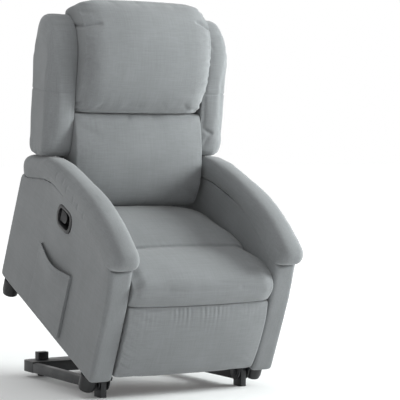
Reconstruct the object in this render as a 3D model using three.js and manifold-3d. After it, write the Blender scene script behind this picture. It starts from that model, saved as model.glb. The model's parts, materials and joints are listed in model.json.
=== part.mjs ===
// Lift recliner chair, shown raised by its lift base.
// Millimetres. +X is the sitter's left, +Y the rear, +Z up.
// Origin: under the centre of the bounding box, on the floor.
import * as THREE from 'three';
import { mergeVertices } from 'three/addons/utils/BufferGeometryUtils.js';
import Module from 'manifold-3d';

const wasm = await Module();
wasm.setup();

// ---------------------------------------------------------------- driving dimensions
const GAP = 0.3; // between pieces that rest on each other
const PLAY = 0.35; // radial play of a pin in its hole
const DEG = Math.PI / 180;

// Across the chair: half the clear width between the mechanism plates, and what stands beside it
const INSIDE = 254;
const PLATE = { inner: INSIDE, thickness: 4 }; // mechanism side plates
const SIDE_CLEARANCE = 12.5; // between a mechanism plate and the arm beside it
const ARM_INNER = INSIDE + PLATE.thickness + SIDE_CLEARANCE;
const ARM_WIDTH = 81;
const CHANNEL = { inner: INSIDE - 4, outer: INSIDE + 37, sheet: 4, depth: 14, front: -345, rear: 350 };

// Up the chair: underside of the seat frame above the underside of the body
const SEAT_BASE = 238;

// Lift base, in the base frame (floor at z = 0)
const LEG = { thickness: 20, depth: 49, side: 6 }; // side: from a leg to the lug of the chair outside it
const BASE = {
  half: CHANNEL.outer - CHANNEL.sheet - LEG.side, railWidth: 25, railHeight: 35, clearance: 22, wall: 2.5,
};
const CROSS = { front: 221, depth: 94, height: 38, wall: 3, corner: 30, drain: 7 };
const POST = { inner: 194, outer: 234, front: 274, rear: 304 };
const GLIDE = { x: (POST.inner + POST.outer) / 2, y: (POST.front + POST.rear) / 2, radius: 15, shank: 7 };
const LIFT_PIVOT = { y: -266.5, z: 50 };
const LIFT_ANGLE = 24.2 * DEG; // tilt of the chair when it is fully raised
const LIFT_PIN = { radius: 8, head: 12, headLength: 3 };

// Chair, in the chair frame (underside of the body at z = 0, before it is tilted)
const LIFT_EAR = { y: -308.9, z: -37.15, radius: 28.5 };
const TUBE = { size: 30, wall: 2.5, frontY: -135 };
const FOOT = { x: ARM_INNER + 51, frontY: -315, rearY: 332.4, radius: 29, height: 58 };

// Actuator
const ACTUATOR = {
  baseY: 238, baseZ: 86, // lower pin, in the base frame
  topY: -74.6, topZ: SEAT_BASE - 45.3, // upper pin, in the chair frame
  pin: 8, lug: 14, lugHalf: 14.7, earInner: 17, earSheet: 6,
  gearStart: 16, gearEnd: 52, tubeEnd: 290, tubeRadius: 17, bore: 10.5, rod: 10, rodInside: 92.5,
  motorX: 52, motorRadius: 26, motorEnd: 171,
};

// Arms: the pad's line and half heights run from the rear to the front
const ARM = {
  inner: ARM_INNER, outer: ARM_INNER + ARM_WIDTH, edge: 10, bottomFront: -378.5, bottomRear: 378.5,
  frontLean: 21, rearLean: 7, frontTop: SEAT_BASE + 154, rearTop: SEAT_BASE + 162, underPad: 18,
  bowLean: 2, bowTop: SEAT_BASE + 52, bowRadius: 95, // the front stands nearly upright up to bowTop
};
const ARM_PAD = { x: ARM_INNER + ARM_WIDTH / 2 + 0.5, halfWidth: ARM_WIDTH / 2 + 11.5, end: 46 };
const ARM_PAD_LINE = [[332, 205], [180, 263], [20, 274], [-130, 272], [-262, 240], [-352, 200]]
  .map(([y, rise]) => [y, SEAT_BASE + rise]);
const ARM_PAD_HALF = [46, 43, 40, 39, 41, 46];

// Seat
const SEAT_FRAME = {
  bottom: SEAT_BASE, top: SEAT_BASE + 32.5, thick: 24, front: -326, rear: 189, half: INSIDE - GAP,
};
const SPRING = { wire: 2, sides: 4, rows: 5, spacing: 88, swing: 24, waves: 6, steps: 5 };
const SEAT = { half: ARM_INNER - 6.5, bottom: SEAT_FRAME.top + 2 * SPRING.wire + 0.8, crown: 7, edge: 26 };

// Back, in the back frame (recline pivot at the origin, +Z up along the back)
const RECLINE_PIVOT = { y: 325, z: SEAT_BASE + 82 };
const BACK_LEAN = 20.56 * DEG;
const PIVOT_PLATE = { thickness: 4, radius: 18, stud: 6, clearance: 1 };
const STILE_OUTER = INSIDE - PIVOT_PLATE.thickness - PIVOT_PLATE.clearance;
const STILE = {
  inner: STILE_OUTER - 27, outer: STILE_OUTER, front: -85, rear: -57, bottom: 0, top: 622, rail: 40,
};
const BACK_COVER = { half: STILE_OUTER - 1.5, rear: -42, bottom: 8, top: 640 };
const LOWER_BACK = { half: STILE_OUTER - 2.5, crown: 10, edge: 40 };
const HEAD = { half: STILE_OUTER - 3, crown: 12, edge: 58 };
const WING = {
  inner: STILE_OUTER + GAP, outer: ARM_INNER + 83.5, front: -200, rear: -40, bottom: 168, top: 648,
  crown: 4, edgeInner: 10, edgeOuter: 30, taper: 9,
};

// Footrest: every pivot is given with the footrest stored, in the chair frame
const FOOTREST = {
  half: ARM_INNER - 8.5, back: -330.6, board: 14.4, bottom: 5, top: SEAT_FRAME.top + 5.5, crown: 5, edge: 20,
  boardSide: 7, boardBottom: 12, boardTop: SEAT_FRAME.top - 0.5, wrap: 6,
};
const LINK = { half: 10, thickness: 4, stud: 5, firstGap: 5, laneGap: 1 };
const LINK_PLATE_PIVOT = { y: -285, z: SEAT_BASE - 37 };
const LINK_KNEE = { y: -200, z: 54 };
const LINK_FOOTREST = { y: -314, z: SEAT_BASE - 52 };
const CONTROL_ARM = { rear: 35, rearAngle: -15.2 * DEG, front: 34, frontAngle: -94 * DEG };

// Release handle on the right arm and the pocket below it
const HANDLE = {
  y: -1, z: SEAT_BASE + 171, width: 110, height: 80, corner: 36, rim: 9, stand: 5.5, depth: 24, wall: 3,
};
const PADDLE = { clearance: 8, finger: 31, tip: 8, taper: 2, thickness: 5, barrel: 4, setIn: 1, axis: 4.5 };
const POCKET = { front: -126, rear: 116, bottom: 26, top: 262, sheet: 2.6, cavity: 8, sag: 13 };

// ---------------------------------------------------------------- materials
const finish = (color, roughness, metalness = 0) =>
  new THREE.MeshStandardMaterial({ color, roughness, metalness });
const FABRIC = finish(0x85898b, 0.95);
const STEEL = finish(0x26282a, 0.5, 0.6);
const PLASTIC = finish(0x17181a, 0.45);
const ALUMINIUM = finish(0xb4b8bc, 0.35, 0.9);
const ZINC = finish(0x9a9da0, 0.4, 0.9);
const WOOD = finish(0xb98f5e, 0.8);
const RUBBER = finish(0x1c1c1d, 0.9);

// ---------------------------------------------------------------- solids
function toSolid(geometry) {
  const bare = geometry.clone();
  for (const name of Object.keys(bare.attributes)) if (name !== 'position') bare.deleteAttribute(name);
  const merged = mergeVertices(bare, 1e-4);
  return new wasm.Manifold(new wasm.Mesh({
    numProp: 3,
    vertProperties: merged.attributes.position.array,
    triVerts: new Uint32Array(merged.index.array),
  }));
}

function toGeometry(solid) {
  const mesh = solid.getMesh();
  const geometry = new THREE.BufferGeometry();
  geometry.setAttribute('position', new THREE.BufferAttribute(mesh.vertProperties, 3));
  geometry.setIndex(new THREE.BufferAttribute(mesh.triVerts, 1));
  const flat = geometry.toNonIndexed();
  flat.computeVertexNormals();
  return flat;
}

const join = (...pieces) => toGeometry(pieces.map(toSolid).reduce((a, b) => a.add(b)));
const cut = (piece, ...tools) =>
  toGeometry(tools.map(toSolid).reduce((a, b) => a.subtract(b), toSolid(piece)));

const block = (x0, x1, y0, y1, z0, z1) =>
  new THREE.BoxGeometry(x1 - x0, y1 - y0, z1 - z0)
    .translate((x0 + x1) / 2, (y0 + y1) / 2, (z0 + z1) / 2);

// A shape drawn in (y, z), extruded from x0 to x1.
const SIDE = new THREE.Matrix4().makeBasis(
  new THREE.Vector3(0, 1, 0), new THREE.Vector3(0, 0, 1), new THREE.Vector3(1, 0, 0));
function sideExtrude(shape, x0, x1, options = {}) {
  const bevel = options.bevel ?? 0;
  return new THREE.ExtrudeGeometry(shape, {
    depth: x1 - x0 - 2 * bevel,
    curveSegments: options.segments ?? 3,
    bevelEnabled: bevel > 0,
    bevelSize: bevel,
    bevelThickness: bevel,
    bevelOffset: -bevel,
    bevelSegments: options.bevelSegments ?? 2,
  }).translate(0, 0, x0 + bevel).applyMatrix4(SIDE);
}

// A shape drawn in (x, y), extruded from z0 to z1.
const planExtrude = (shape, z0, z1, segments = 4) =>
  new THREE.ExtrudeGeometry(shape, { depth: z1 - z0, curveSegments: segments, bevelEnabled: false })
    .translate(0, 0, z0);

// A closed outline through corner points, each with its own rounding.
function roundedShape(corners, radius) {
  const points = corners.map(([u, v]) => new THREE.Vector2(u, v));
  const shape = new THREE.Shape();
  points.forEach((corner, i) => {
    const before = points[(i + points.length - 1) % points.length];
    const after = points[(i + 1) % points.length];
    const r = corners[i][2] ?? radius;
    const reach = (other) => Math.min(r, corner.distanceTo(other) * 0.49);
    const start = corner.clone().lerp(before, reach(before) / corner.distanceTo(before));
    const end = corner.clone().lerp(after, reach(after) / corner.distanceTo(after));
    if (i === 0) shape.moveTo(start.x, start.y);
    else shape.lineTo(start.x, start.y);
    shape.quadraticCurveTo(corner.x, corner.y, end.x, end.y);
  });
  shape.closePath();
  return shape;
}

const rectangle = (u0, u1, v0, v1, radius = 0.01) =>
  roundedShape([[u0, v0], [u1, v0], [u1, v1], [u0, v1]], radius);

// A bar with round ends from a to b, as a flat shape.
function barShape(a, b, radius) {
  const angle = Math.atan2(b.z - a.z, b.y - a.y);
  const shape = new THREE.Shape();
  shape.absarc(a.y, a.z, radius, angle + Math.PI / 2, angle + 1.5 * Math.PI);
  shape.absarc(b.y, b.z, radius, angle - Math.PI / 2, angle + Math.PI / 2);
  shape.closePath();
  return shape;
}

// A round bar along X.
const rodX = (radius, x0, x1, y, z, segments = 14) =>
  new THREE.CylinderGeometry(radius, radius, x1 - x0, segments)
    .rotateZ(-Math.PI / 2)
    .translate((x0 + x1) / 2, y, z);

// A pin along X through (y, z), with a head at each end.
function pinX(radius, head, headLength, x0, x1, y, z) {
  return join(
    rodX(radius, x0, x1, y, z),
    rodX(head, x0 - headLength, x0, y, z),
    rodX(head, x1, x1 + headLength, y, z),
  );
}

// A revolved piece standing on z = 0, from a profile of [radius, height].
const revolve = (profile, segments = 18) =>
  new THREE.LatheGeometry(profile.map(([r, h]) => new THREE.Vector2(r, h)), segments).rotateX(Math.PI / 2);

// A closed skin over rings of equal length, with flat ends.
function loft(rings) {
  const count = rings[0].length;
  const positions = rings.flat().flatMap((p) => [p.x, p.y, p.z]);
  const index = [];
  for (let i = 0; i + 1 < rings.length; i++) {
    for (let j = 0; j < count; j++) {
      const a = i * count + j;
      const b = i * count + ((j + 1) % count);
      index.push(a, b, b + count, a, b + count, a + count);
    }
  }
  const middle = (ring) => ring.reduce((s, p) => s.add(p), new THREE.Vector3()).divideScalar(count);
  const ends = [[rings[0], 0], [rings[rings.length - 1], (rings.length - 1) * count]];
  ends.forEach(([ring, first], e) => {
    const centre = positions.length / 3;
    positions.push(...middle(ring).toArray());
    for (let j = 0; j < count; j++) {
      const a = first + j;
      const b = first + ((j + 1) % count);
      index.push(...(e === 0 ? [centre, b, a] : [centre, a, b]));
    }
  });
  const geometry = new THREE.BufferGeometry();
  geometry.setAttribute('position', new THREE.Float32BufferAttribute(positions, 3));
  geometry.setIndex(index);
  return toSolid(geometry).volume() > 0 ? geometry : flipped(geometry);
}

function flipped(geometry) {
  const index = geometry.index.array;
  for (let i = 0; i < index.length; i += 3) [index[i + 1], index[i + 2]] = [index[i + 2], index[i + 1]];
  return geometry;
}

// Points of a closed smooth outline in (y, z) that passes through the given points.
function smoothOutline(points, perPoint = 3) {
  const corners = points.map(([y, z]) => new THREE.Vector3(0, y, z));
  const curve = new THREE.CatmullRomCurve3(corners, true, 'centripetal');
  return curve.getPoints(points.length * perPoint).slice(0, -1).map((p) => ({ y: p.y, z: p.z }));
}

// Pushes the points of an outline that lie past a flat seat back onto it.
const seatedOn = (outline, axis, limit, sign = 1) =>
  outline.map((p) => ((p[axis] - limit) * sign > 0 ? { ...p, [axis]: limit } : p));

// The nearest point to p on the segment from a to b.
function nearestOnSpine(p, [a, b]) {
  const along = { y: b[0] - a[0], z: b[1] - a[1] };
  const t = ((p.y - a[0]) * along.y + (p.z - a[1]) * along.z) / (along.y ** 2 + along.z ** 2);
  const k = Math.min(1, Math.max(0, t));
  return { y: a[0] + along.y * k, z: a[1] + along.z * k };
}

// A stuffed form across X: the outline is fullest in the middle, draws in by the crown
// towards the sides, and rounds over to each side. The outline shrinks towards its spine.
function cushion({ outline, spine, x0, x1, crown, edge0, edge1 = edge0, steps = 4 }) {
  const middle = (x0 + x1) / 2;
  const half = (x1 - x0) / 2;
  const stations = [];
  for (let i = 0; i < steps; i++) {
    const a = (i / steps) * 90 * DEG;
    stations.push([x0 + edge0 * (1 - Math.sin(a)), edge0 * (1 - Math.cos(a))]);
  }
  stations.push([x0, edge0]);
  stations.reverse();
  for (const t of [-0.5, 0, 0.5]) {
    stations.push([middle + t * (half - (edge0 + edge1) / 2), 0]);
  }
  for (let i = 0; i < steps; i++) {
    const a = (i / steps) * 90 * DEG;
    stations.push([x1 - edge1 * (1 - Math.sin(a)), edge1 * (1 - Math.cos(a))]);
  }
  stations.push([x1, edge1]);
  const rings = stations.map(([x, rounding]) => {
    const inset = rounding + crown * ((x - middle) / half) ** 2;
    return outline.map((p) => {
      const core = nearestOnSpine(p, spine);
      const reach = Math.hypot(p.y - core.y, p.z - core.z);
      const k = Math.min(inset, reach * 0.85) / reach;
      return new THREE.Vector3(x, p.y + (core.y - p.y) * k, p.z + (core.z - p.z) * k);
    });
  });
  return loft(rings);
}

// ---------------------------------------------------------------- assembly frames
const chair = new THREE.Group();
const base = new THREE.Group();
const raised = new THREE.Group(); // the chair frame, tilted about the lift pivot
const back = new THREE.Group(); // the back frame, leaning in the chair frame
const actuator = new THREE.Group(); // +Z along the rod, lower pin at the origin
chair.add(base);
base.add(raised, actuator);
raised.add(back);

const rotateYZ = (p, angle) => ({
  y: p.y * Math.cos(angle) - p.z * Math.sin(angle),
  z: p.y * Math.sin(angle) + p.z * Math.cos(angle),
});
// A point of the chair frame in the base frame, with the chair tilted by angle.
function chairPoint(p, angle = LIFT_ANGLE) {
  const turned = rotateYZ({ y: p.y - LIFT_EAR.y, z: p.z - LIFT_EAR.z }, angle);
  return { y: LIFT_PIVOT.y + turned.y, z: LIFT_PIVOT.z + turned.z };
}
// The same the other way round.
function basePoint(p, angle = LIFT_ANGLE) {
  const turned = rotateYZ({ y: p.y - LIFT_PIVOT.y, z: p.z - LIFT_PIVOT.z }, -angle);
  return { y: LIFT_EAR.y + turned.y, z: LIFT_EAR.z + turned.z };
}

const origin = chairPoint({ y: 0, z: 0 });
raised.position.set(0, origin.y, origin.z);
raised.rotation.x = LIFT_ANGLE;
back.position.set(0, RECLINE_PIVOT.y, RECLINE_PIVOT.z);
back.rotation.x = -BACK_LEAN;

function add(group, name, geometry, material) {
  const mesh = new THREE.Mesh(geometry, material);
  mesh.name = name;
  group.add(mesh);
}

// Adds a piece on each side; make(side) builds it for side = -1 (right) or 1 (left).
function addPair(group, name, make, material) {
  add(group, `${name}_right`, make(-1), material);
  add(group, `${name}_left`, make(1), material);
}
// The x limits of a piece that lies between two distances from the middle, on one side.
const span = (side, near, far) => (side > 0 ? [near, far] : [-far, -near]);

// ---------------------------------------------------------------- lift base
const CROSS_REAR = CROSS.front + CROSS.depth;
const CROSS_TOP = BASE.clearance + CROSS.height;
const SEATED_HEIGHT = LIFT_PIVOT.z - LIFT_EAR.z; // underside of the body above the floor, seated
const LEG_REAR = LIFT_PIVOT.y + LEG.depth / 2;

function baseRail(side) {
  const [x0, x1] = span(side, BASE.half - BASE.railWidth, BASE.half);
  const profile = (inset) => rectangle(x0 + inset, x1 - inset,
    BASE.clearance + inset, BASE.clearance + BASE.railHeight - inset, 5 - inset);
  const tube = profile(0);
  tube.holes.push(profile(BASE.wall));
  const length = CROSS.front - GAP - (LEG_REAR - 1);
  return new THREE.ExtrudeGeometry(tube, { depth: length, curveSegments: 3, bevelEnabled: false })
    .rotateX(Math.PI / 2)
    .translate(0, CROSS.front - GAP, 0);
}

function baseLeg(side) {
  const [x0, x1] = span(side, BASE.half - LEG.thickness, BASE.half);
  const half = LEG.depth / 2;
  const shape = new THREE.Shape();
  shape.moveTo(LIFT_PIVOT.y - half, 1.5);
  shape.lineTo(LIFT_PIVOT.y - half + 1.5, 0);
  shape.lineTo(LIFT_PIVOT.y + half - 1.5, 0);
  shape.lineTo(LIFT_PIVOT.y + half, 1.5);
  shape.absarc(LIFT_PIVOT.y, LIFT_PIVOT.z, half, 0, Math.PI);
  shape.closePath();
  const hole = new THREE.Path();
  hole.absarc(LIFT_PIVOT.y, LIFT_PIVOT.z, LIFT_PIN.radius + PLAY, 0, 2 * Math.PI);
  shape.holes.push(hole);
  return sideExtrude(shape, x0, x1, { segments: 7 });
}

function crossMember() {
  const outline = (inset) => {
    const x = BASE.half - inset;
    const corner = Math.max(2, CROSS.corner - inset);
    return roundedShape([
      [-x, CROSS.front + inset, 4], [x, CROSS.front + inset, 4],
      [x, CROSS_REAR - inset, corner], [-x, CROSS_REAR - inset, corner],
    ], corner);
  };
  const shell = planExtrude(outline(0), BASE.clearance, CROSS_TOP);
  const hollow = planExtrude(outline(CROSS.wall), BASE.clearance + CROSS.wall, CROSS_TOP - CROSS.wall);
  const drains = [-1, 1].map((side) =>
    new THREE.CylinderGeometry(CROSS.drain, CROSS.drain, 4 * CROSS.wall, 10)
      .rotateX(Math.PI / 2)
      .translate(side * GLIDE.x * 0.6, CROSS.front + CROSS.depth / 2, BASE.clearance));
  const posts = [-1, 1].map((side) => {
    const [x0, x1] = span(side, POST.inner, POST.outer);
    return planExtrude(rectangle(x0, x1, POST.front, POST.rear, 3), CROSS_TOP - 1, SEATED_HEIGHT - GAP, 3);
  });
  const pivot = { y: ACTUATOR.baseY, z: ACTUATOR.baseZ };
  const ears = [-1, 1].map((side) => {
    const [x0, x1] = span(side, ACTUATOR.earInner, ACTUATOR.earInner + ACTUATOR.earSheet);
    const ear = barShape(pivot, { y: pivot.y, z: CROSS_TOP - 1 }, ACTUATOR.pin + 8);
    return sideExtrude(ear, x0, x1, { segments: 5 });
  });
  const earTrim = block(-60, 60, CROSS.front - 20, CROSS_REAR, 0, CROSS_TOP - CROSS.wall);
  const bores = rodX(ACTUATOR.pin + PLAY, -60, 60, pivot.y, pivot.z);
  const body = cut(join(shell, ...posts), hollow, ...drains);
  return join(body, cut(join(...ears), earTrim, bores));
}

const glide = () => revolve([[0, 0], [GLIDE.radius - 2, 0], [GLIDE.radius, 2], [GLIDE.radius, 9],
  [GLIDE.shank, 13], [GLIDE.shank, BASE.clearance - GAP], [0, BASE.clearance - GAP]], 12);

function liftPin(side) {
  const leg = [BASE.half - LEG.thickness, BASE.half];
  const ears = [CHANNEL.inner + CHANNEL.sheet, CHANNEL.outer - CHANNEL.sheet];
  const through = [CHANNEL.inner - GAP - 1, CHANNEL.outer];
  const head = [CHANNEL.inner - GAP - LIFT_PIN.headLength, CHANNEL.inner - GAP];
  const collar = LIFT_PIN.radius + 5;
  const { y, z } = LIFT_PIVOT;
  const spacers = [[ears[0] + GAP, leg[0] - GAP], [leg[1] + GAP, ears[1] - GAP]];
  return join(
    rodX(LIFT_PIN.radius, ...span(side, ...through), y, z),
    rodX(LIFT_PIN.head, ...span(side, ...head), y, z),
    ...spacers.map((limits) => rodX(collar, ...span(side, ...limits), y, z)),
  );
}

addPair(base, 'base_side', (side) => join(baseRail(side), baseLeg(side)), STEEL);
addPair(base, 'lift_pin', liftPin, ZINC);
addPair(base, 'base_glide', (side) => glide().translate(side * GLIDE.x, GLIDE.y, 0), RUBBER);
add(base, 'base_rear_crossmember', crossMember(), STEEL);
const EAR_OUTER = ACTUATOR.earInner + ACTUATOR.earSheet + GAP;
add(base, 'actuator_base_pin',
  pinX(ACTUATOR.pin, ACTUATOR.pin + 3, 2.5, -EAR_OUTER, EAR_OUTER, ACTUATOR.baseY, ACTUATOR.baseZ), ZINC);

// ---------------------------------------------------------------- actuator
const lowerPin = { y: ACTUATOR.baseY, z: ACTUATOR.baseZ };
const upperPin = { y: ACTUATOR.topY, z: ACTUATOR.topZ };
// Length between pins and slope of the actuator, with the chair tilted by angle.
function actuatorLine(angle) {
  const top = chairPoint(upperPin, angle);
  return {
    length: Math.hypot(top.y - lowerPin.y, top.z - lowerPin.z),
    slope: Math.atan2(top.z - lowerPin.z, lowerPin.y - top.y),
  };
}
const RAISED_LINE = actuatorLine(LIFT_ANGLE);
const SEATED_LINE = actuatorLine(0);
actuator.position.set(0, lowerPin.y, lowerPin.z);
actuator.rotation.x = Math.PI / 2 - RAISED_LINE.slope;

// A round bar along the actuator's axis.
const shaft = (radius, z0, z1, x = 0, segments = 18) =>
  new THREE.CylinderGeometry(radius, radius, z1 - z0, segments)
    .rotateX(Math.PI / 2)
    .translate(x, 0, (z0 + z1) / 2);

function gearHousing() {
  const { lugHalf, lug, gearStart, gearEnd, motorX, motorRadius } = ACTUATOR;
  const lugBar = sideExtrude(barShape({ y: 0, z: 0 }, { y: 0, z: gearStart + 6 }, lug), -lugHalf, lugHalf,
    { segments: 5 });
  const caseOutline = roundedShape([[-26, -25], [motorX + motorRadius + 4, -29],
    [motorX + motorRadius + 4, 29], [-26, 25]], 16);
  const gearCase = planExtrude(caseOutline, gearStart, gearEnd);
  const collar = shaft(ACTUATOR.tubeRadius + 7, gearEnd - 1, gearEnd + 22);
  const socket = shaft(ACTUATOR.tubeRadius + GAP, gearEnd - 8, gearEnd + 40);
  const bore = rodX(ACTUATOR.pin + PLAY, -40, 40, 0, 0);
  return cut(join(lugBar, gearCase, collar), socket, bore);
}

function motor() {
  const { motorX, motorRadius, gearEnd, motorEnd } = ACTUATOR;
  const start = gearEnd + GAP;
  const can = revolve([[0, 0], [motorRadius, 0], [motorRadius, 3], [motorRadius - 2, 4],
    [motorRadius - 2, motorEnd - start - 22], [motorRadius, motorEnd - start - 21],
    [motorRadius, motorEnd - start - 3], [motorRadius - 3, motorEnd - start], [0, motorEnd - start]]);
  const inlet = shaft(9, motorEnd - start - 2, motorEnd - start + 8, 0, 14).translate(0, -8, 0);
  const socket = shaft(6, motorEnd - start + 2, motorEnd - start + 10, 0, 14).translate(0, -8, 0);
  return cut(join(can, inlet), socket).translate(motorX, 0, start);
}

function actuatorTube() {
  const { tubeRadius, bore, gearEnd, tubeEnd } = ACTUATOR;
  const start = gearEnd - 8 + GAP;
  const wiper = shaft(tubeRadius + 2, tubeEnd - 12, tubeEnd);
  return cut(join(shaft(tubeRadius, start, tubeEnd), wiper), shaft(bore, start - 5, tubeEnd + 5));
}

function actuatorRod() {
  const { lug, lugHalf, rod, tubeEnd, rodInside } = ACTUATOR;
  const top = RAISED_LINE.length;
  const eye = sideExtrude(barShape({ y: 0, z: top - 6 }, { y: 0, z: top }, lug), -lugHalf, lugHalf,
    { segments: 5 });
  const neck = shaft(rod + 2, top - lug - 14, top - lug);
  return cut(join(shaft(rod, tubeEnd - rodInside, top - lug), neck, eye),
    rodX(ACTUATOR.pin + PLAY, -40, 40, 0, top));
}

add(actuator, 'actuator_housing', gearHousing(), PLASTIC);
add(actuator, 'actuator_motor', motor(), STEEL);
add(actuator, 'actuator_tube', actuatorTube(), ALUMINIUM);
add(actuator, 'actuator_rod', actuatorRod(), ALUMINIUM);
add(actuator, 'rod_end_pin',
  pinX(ACTUATOR.pin, ACTUATOR.pin + 3, 2.5, -EAR_OUTER, EAR_OUTER, 0, RAISED_LINE.length), ZINC);

// ---------------------------------------------------------------- underframe
function underframeChannel(side) {
  const { inner, outer, sheet, depth, front, rear } = CHANNEL;
  const flange = rectangle(front, rear, -depth, -GAP, 3);
  const ear = barShape(LIFT_EAR, { y: LIFT_EAR.y, z: -GAP - LIFT_EAR.radius }, LIFT_EAR.radius);
  const walls = [[inner, inner + sheet], [outer - sheet, outer]].map(([near, far]) => {
    const [x0, x1] = span(side, near, far);
    return join(sideExtrude(flange, x0, x1, { segments: 2 }), sideExtrude(ear, x0, x1, { segments: 5 }));
  });
  const [x0, x1] = span(side, inner, outer);
  const web = block(x0, x1, front + 3, rear - 3, -GAP - sheet, -GAP);
  return cut(join(...walls, web),
    rodX(LIFT_PIN.radius + PLAY, x0 - 5, x1 + 5, LIFT_EAR.y, LIFT_EAR.z));
}

// A square tube across the chair, between the mechanism plates.
function crossTube(front) {
  const half = PLATE.inner - GAP;
  const shape = rectangle(front, front + TUBE.size, 0, TUBE.size, 3);
  shape.holes.push(rectangle(front + TUBE.wall, front + TUBE.size - TUBE.wall,
    TUBE.wall, TUBE.size - TUBE.wall, 1));
  return sideExtrude(shape, -half, half, { segments: 2 });
}

// How far the rod's eye lags behind its arc half way up, in the chair frame.
function rodLag() {
  const half = LIFT_ANGLE / 2;
  const length = (RAISED_LINE.length + SEATED_LINE.length) / 2;
  const slope = (RAISED_LINE.slope + SEATED_LINE.slope) / 2;
  const eye = { y: lowerPin.y - length * Math.cos(slope), z: lowerPin.z + length * Math.sin(slope) };
  const seen = basePoint(eye, half);
  return { y: seen.y - upperPin.y, z: seen.z - upperPin.z };
}

function actuatorCrossTube() {
  const tube = { y: upperPin.y - 27, z: upperPin.z + 29, radius: 16, bore: 13 };
  const half = PLATE.inner - GAP;
  const ears = [-1, 1].map((side) => {
    const [x0, x1] = span(side, ACTUATOR.earInner, ACTUATOR.earInner + ACTUATOR.earSheet);
    return sideExtrude(barShape(tube, upperPin, ACTUATOR.pin + 12), x0, x1, { segments: 4 });
  });
  const lag = rodLag();
  const slotEnd = { y: upperPin.y + lag.y * 1.06, z: upperPin.z + lag.z * 1.06 };
  const slot = sideExtrude(barShape(upperPin, slotEnd, ACTUATOR.pin + 2 * PLAY), -60, 60, { segments: 4 });
  return cut(join(rodX(tube.radius, -half, half, tube.y, tube.z), ...ears),
    rodX(tube.bore, -half - 5, half + 5, tube.y, tube.z), slot);
}

const foot = () => revolve([[0, 0], [FOOT.radius - 7, 0], [FOOT.radius - 3, 3], [FOOT.radius, 16],
  [FOOT.radius, FOOT.height - GAP], [0, FOOT.height - GAP]]).translate(0, 0, -FOOT.height);

addPair(raised, 'underframe_channel', underframeChannel, STEEL);
const rearTubeFront = basePoint({ y: POST.front, z: SEATED_HEIGHT }, 0).y;
add(raised, 'underframe_rear_tube', crossTube(rearTubeFront), STEEL);
add(raised, 'underframe_front_tube', crossTube(TUBE.frontY), STEEL);
add(raised, 'actuator_cross_tube', actuatorCrossTube(), STEEL);
addPair(raised, 'front_foot', (side) => foot().translate(side * FOOT.x, FOOT.frontY, 0), PLASTIC);
addPair(raised, 'rear_foot', (side) => foot().translate(side * FOOT.x, FOOT.rearY, 0), PLASTIC);

// ---------------------------------------------------------------- footrest linkage
// Two parallelograms: the front link never turns, and the footrest turns with the rear link.
const polar = (p, r, angle) => ({ y: p.y + r * Math.cos(angle), z: p.z + r * Math.sin(angle) });
const G = LINK_PLATE_PIVOT;
const K = LINK_KNEE;
const M = LINK_FOOTREST;
const G2 = polar(G, CONTROL_ARM.rear, CONTROL_ARM.rearAngle);
const K2 = polar(K, CONTROL_ARM.rear, CONTROL_ARM.rearAngle);
const K3 = polar(K, CONTROL_ARM.front, CONTROL_ARM.frontAngle);
const M3 = polar(M, CONTROL_ARM.front, CONTROL_ARM.frontAngle);
const lane = (n) => {
  const far = PLATE.inner - LINK.firstGap - n * (LINK.thickness + LINK.laneGap);
  return [far - LINK.thickness, far];
};

// A flat link through its pivots, in one lane, with holes and with studs that reach a next lane.
function link(side, pivots, own, holes, studs) {
  const [x0, x1] = span(side, ...own);
  const bars = pivots.slice(1).map((p) => sideExtrude(barShape(pivots[0], p, LINK.half), x0, x1));
  const pegs = studs.map(([p, to]) => {
    const near = Math.min(own[0], to[0]);
    const far = Math.max(own[1], to[1]);
    const reach = to[0] < own[0] ? [near - GAP, own[1] - 1] : [own[0] + 1, far + GAP];
    return rodX(LINK.stud, ...span(side, ...reach), p.y, p.z, 12);
  });
  const body = bars.length ? join(...bars, ...pegs) : pegs[0];
  const bores = holes.map((p) => rodX(LINK.stud + PLAY, x0 - 5, x1 + 5, p.y, p.z, 12));
  return bores.length ? cut(body, ...bores) : body;
}

addPair(raised, 'footrest_rear_link', (side) =>
  link(side, [K, G, K3], lane(0), [G], [[K, lane(1)], [K3, lane(1)]]), STEEL);
addPair(raised, 'footrest_rear_control', (side) =>
  link(side, [G2, K2], lane(0), [G2, K2], []), STEEL);
addPair(raised, 'footrest_front_link', (side) =>
  link(side, [K, M, K2], lane(1), [K], [[M, lane(2)], [K2, lane(0)]]), STEEL);
addPair(raised, 'footrest_front_control', (side) =>
  link(side, [K3, M3], lane(1), [K3], [[M3, lane(2)]]), STEEL);

function footrestBracket(side) {
  const back = FOOTREST.back + GAP;
  const [x0, x1] = span(side, ...lane(2));
  const cheek = roundedShape([[back, M3.z - 26], [back + 8, M3.z - 26], [M3.y + 12, M3.z - 6],
    [M.y + 12, M.z + 6], [back + 8, M.z + 30], [back, M.z + 30]], 8);
  const [f0, f1] = span(side, lane(2)[0] - 26, lane(2)[1]);
  const flange = block(f0, f1, back, back + 3, M3.z - 24, M.z + 28);
  return cut(join(sideExtrude(cheek, x0, x1), flange),
    ...[M, M3].map((p) => rodX(LINK.stud + PLAY, x0 - 5, x1 + 5, p.y, p.z, 12)));
}
addPair(raised, 'footrest_bracket', footrestBracket, STEEL);

const BOARD_FRONT = FOOTREST.back - FOOTREST.board;
const BOARD_HALF = FOOTREST.half - FOOTREST.boardSide;
add(raised, 'footrest_board', sideExtrude(
  rectangle(BOARD_FRONT, FOOTREST.back, FOOTREST.boardBottom, FOOTREST.boardTop, 3),
  -BOARD_HALF, BOARD_HALF, { segments: 2 }), WOOD);
const PAD_BACK = BOARD_FRONT - GAP;
const PAD_TOP = FOOTREST.top - 1;
const PAD_BOTTOM = FOOTREST.bottom + 3;
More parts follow.
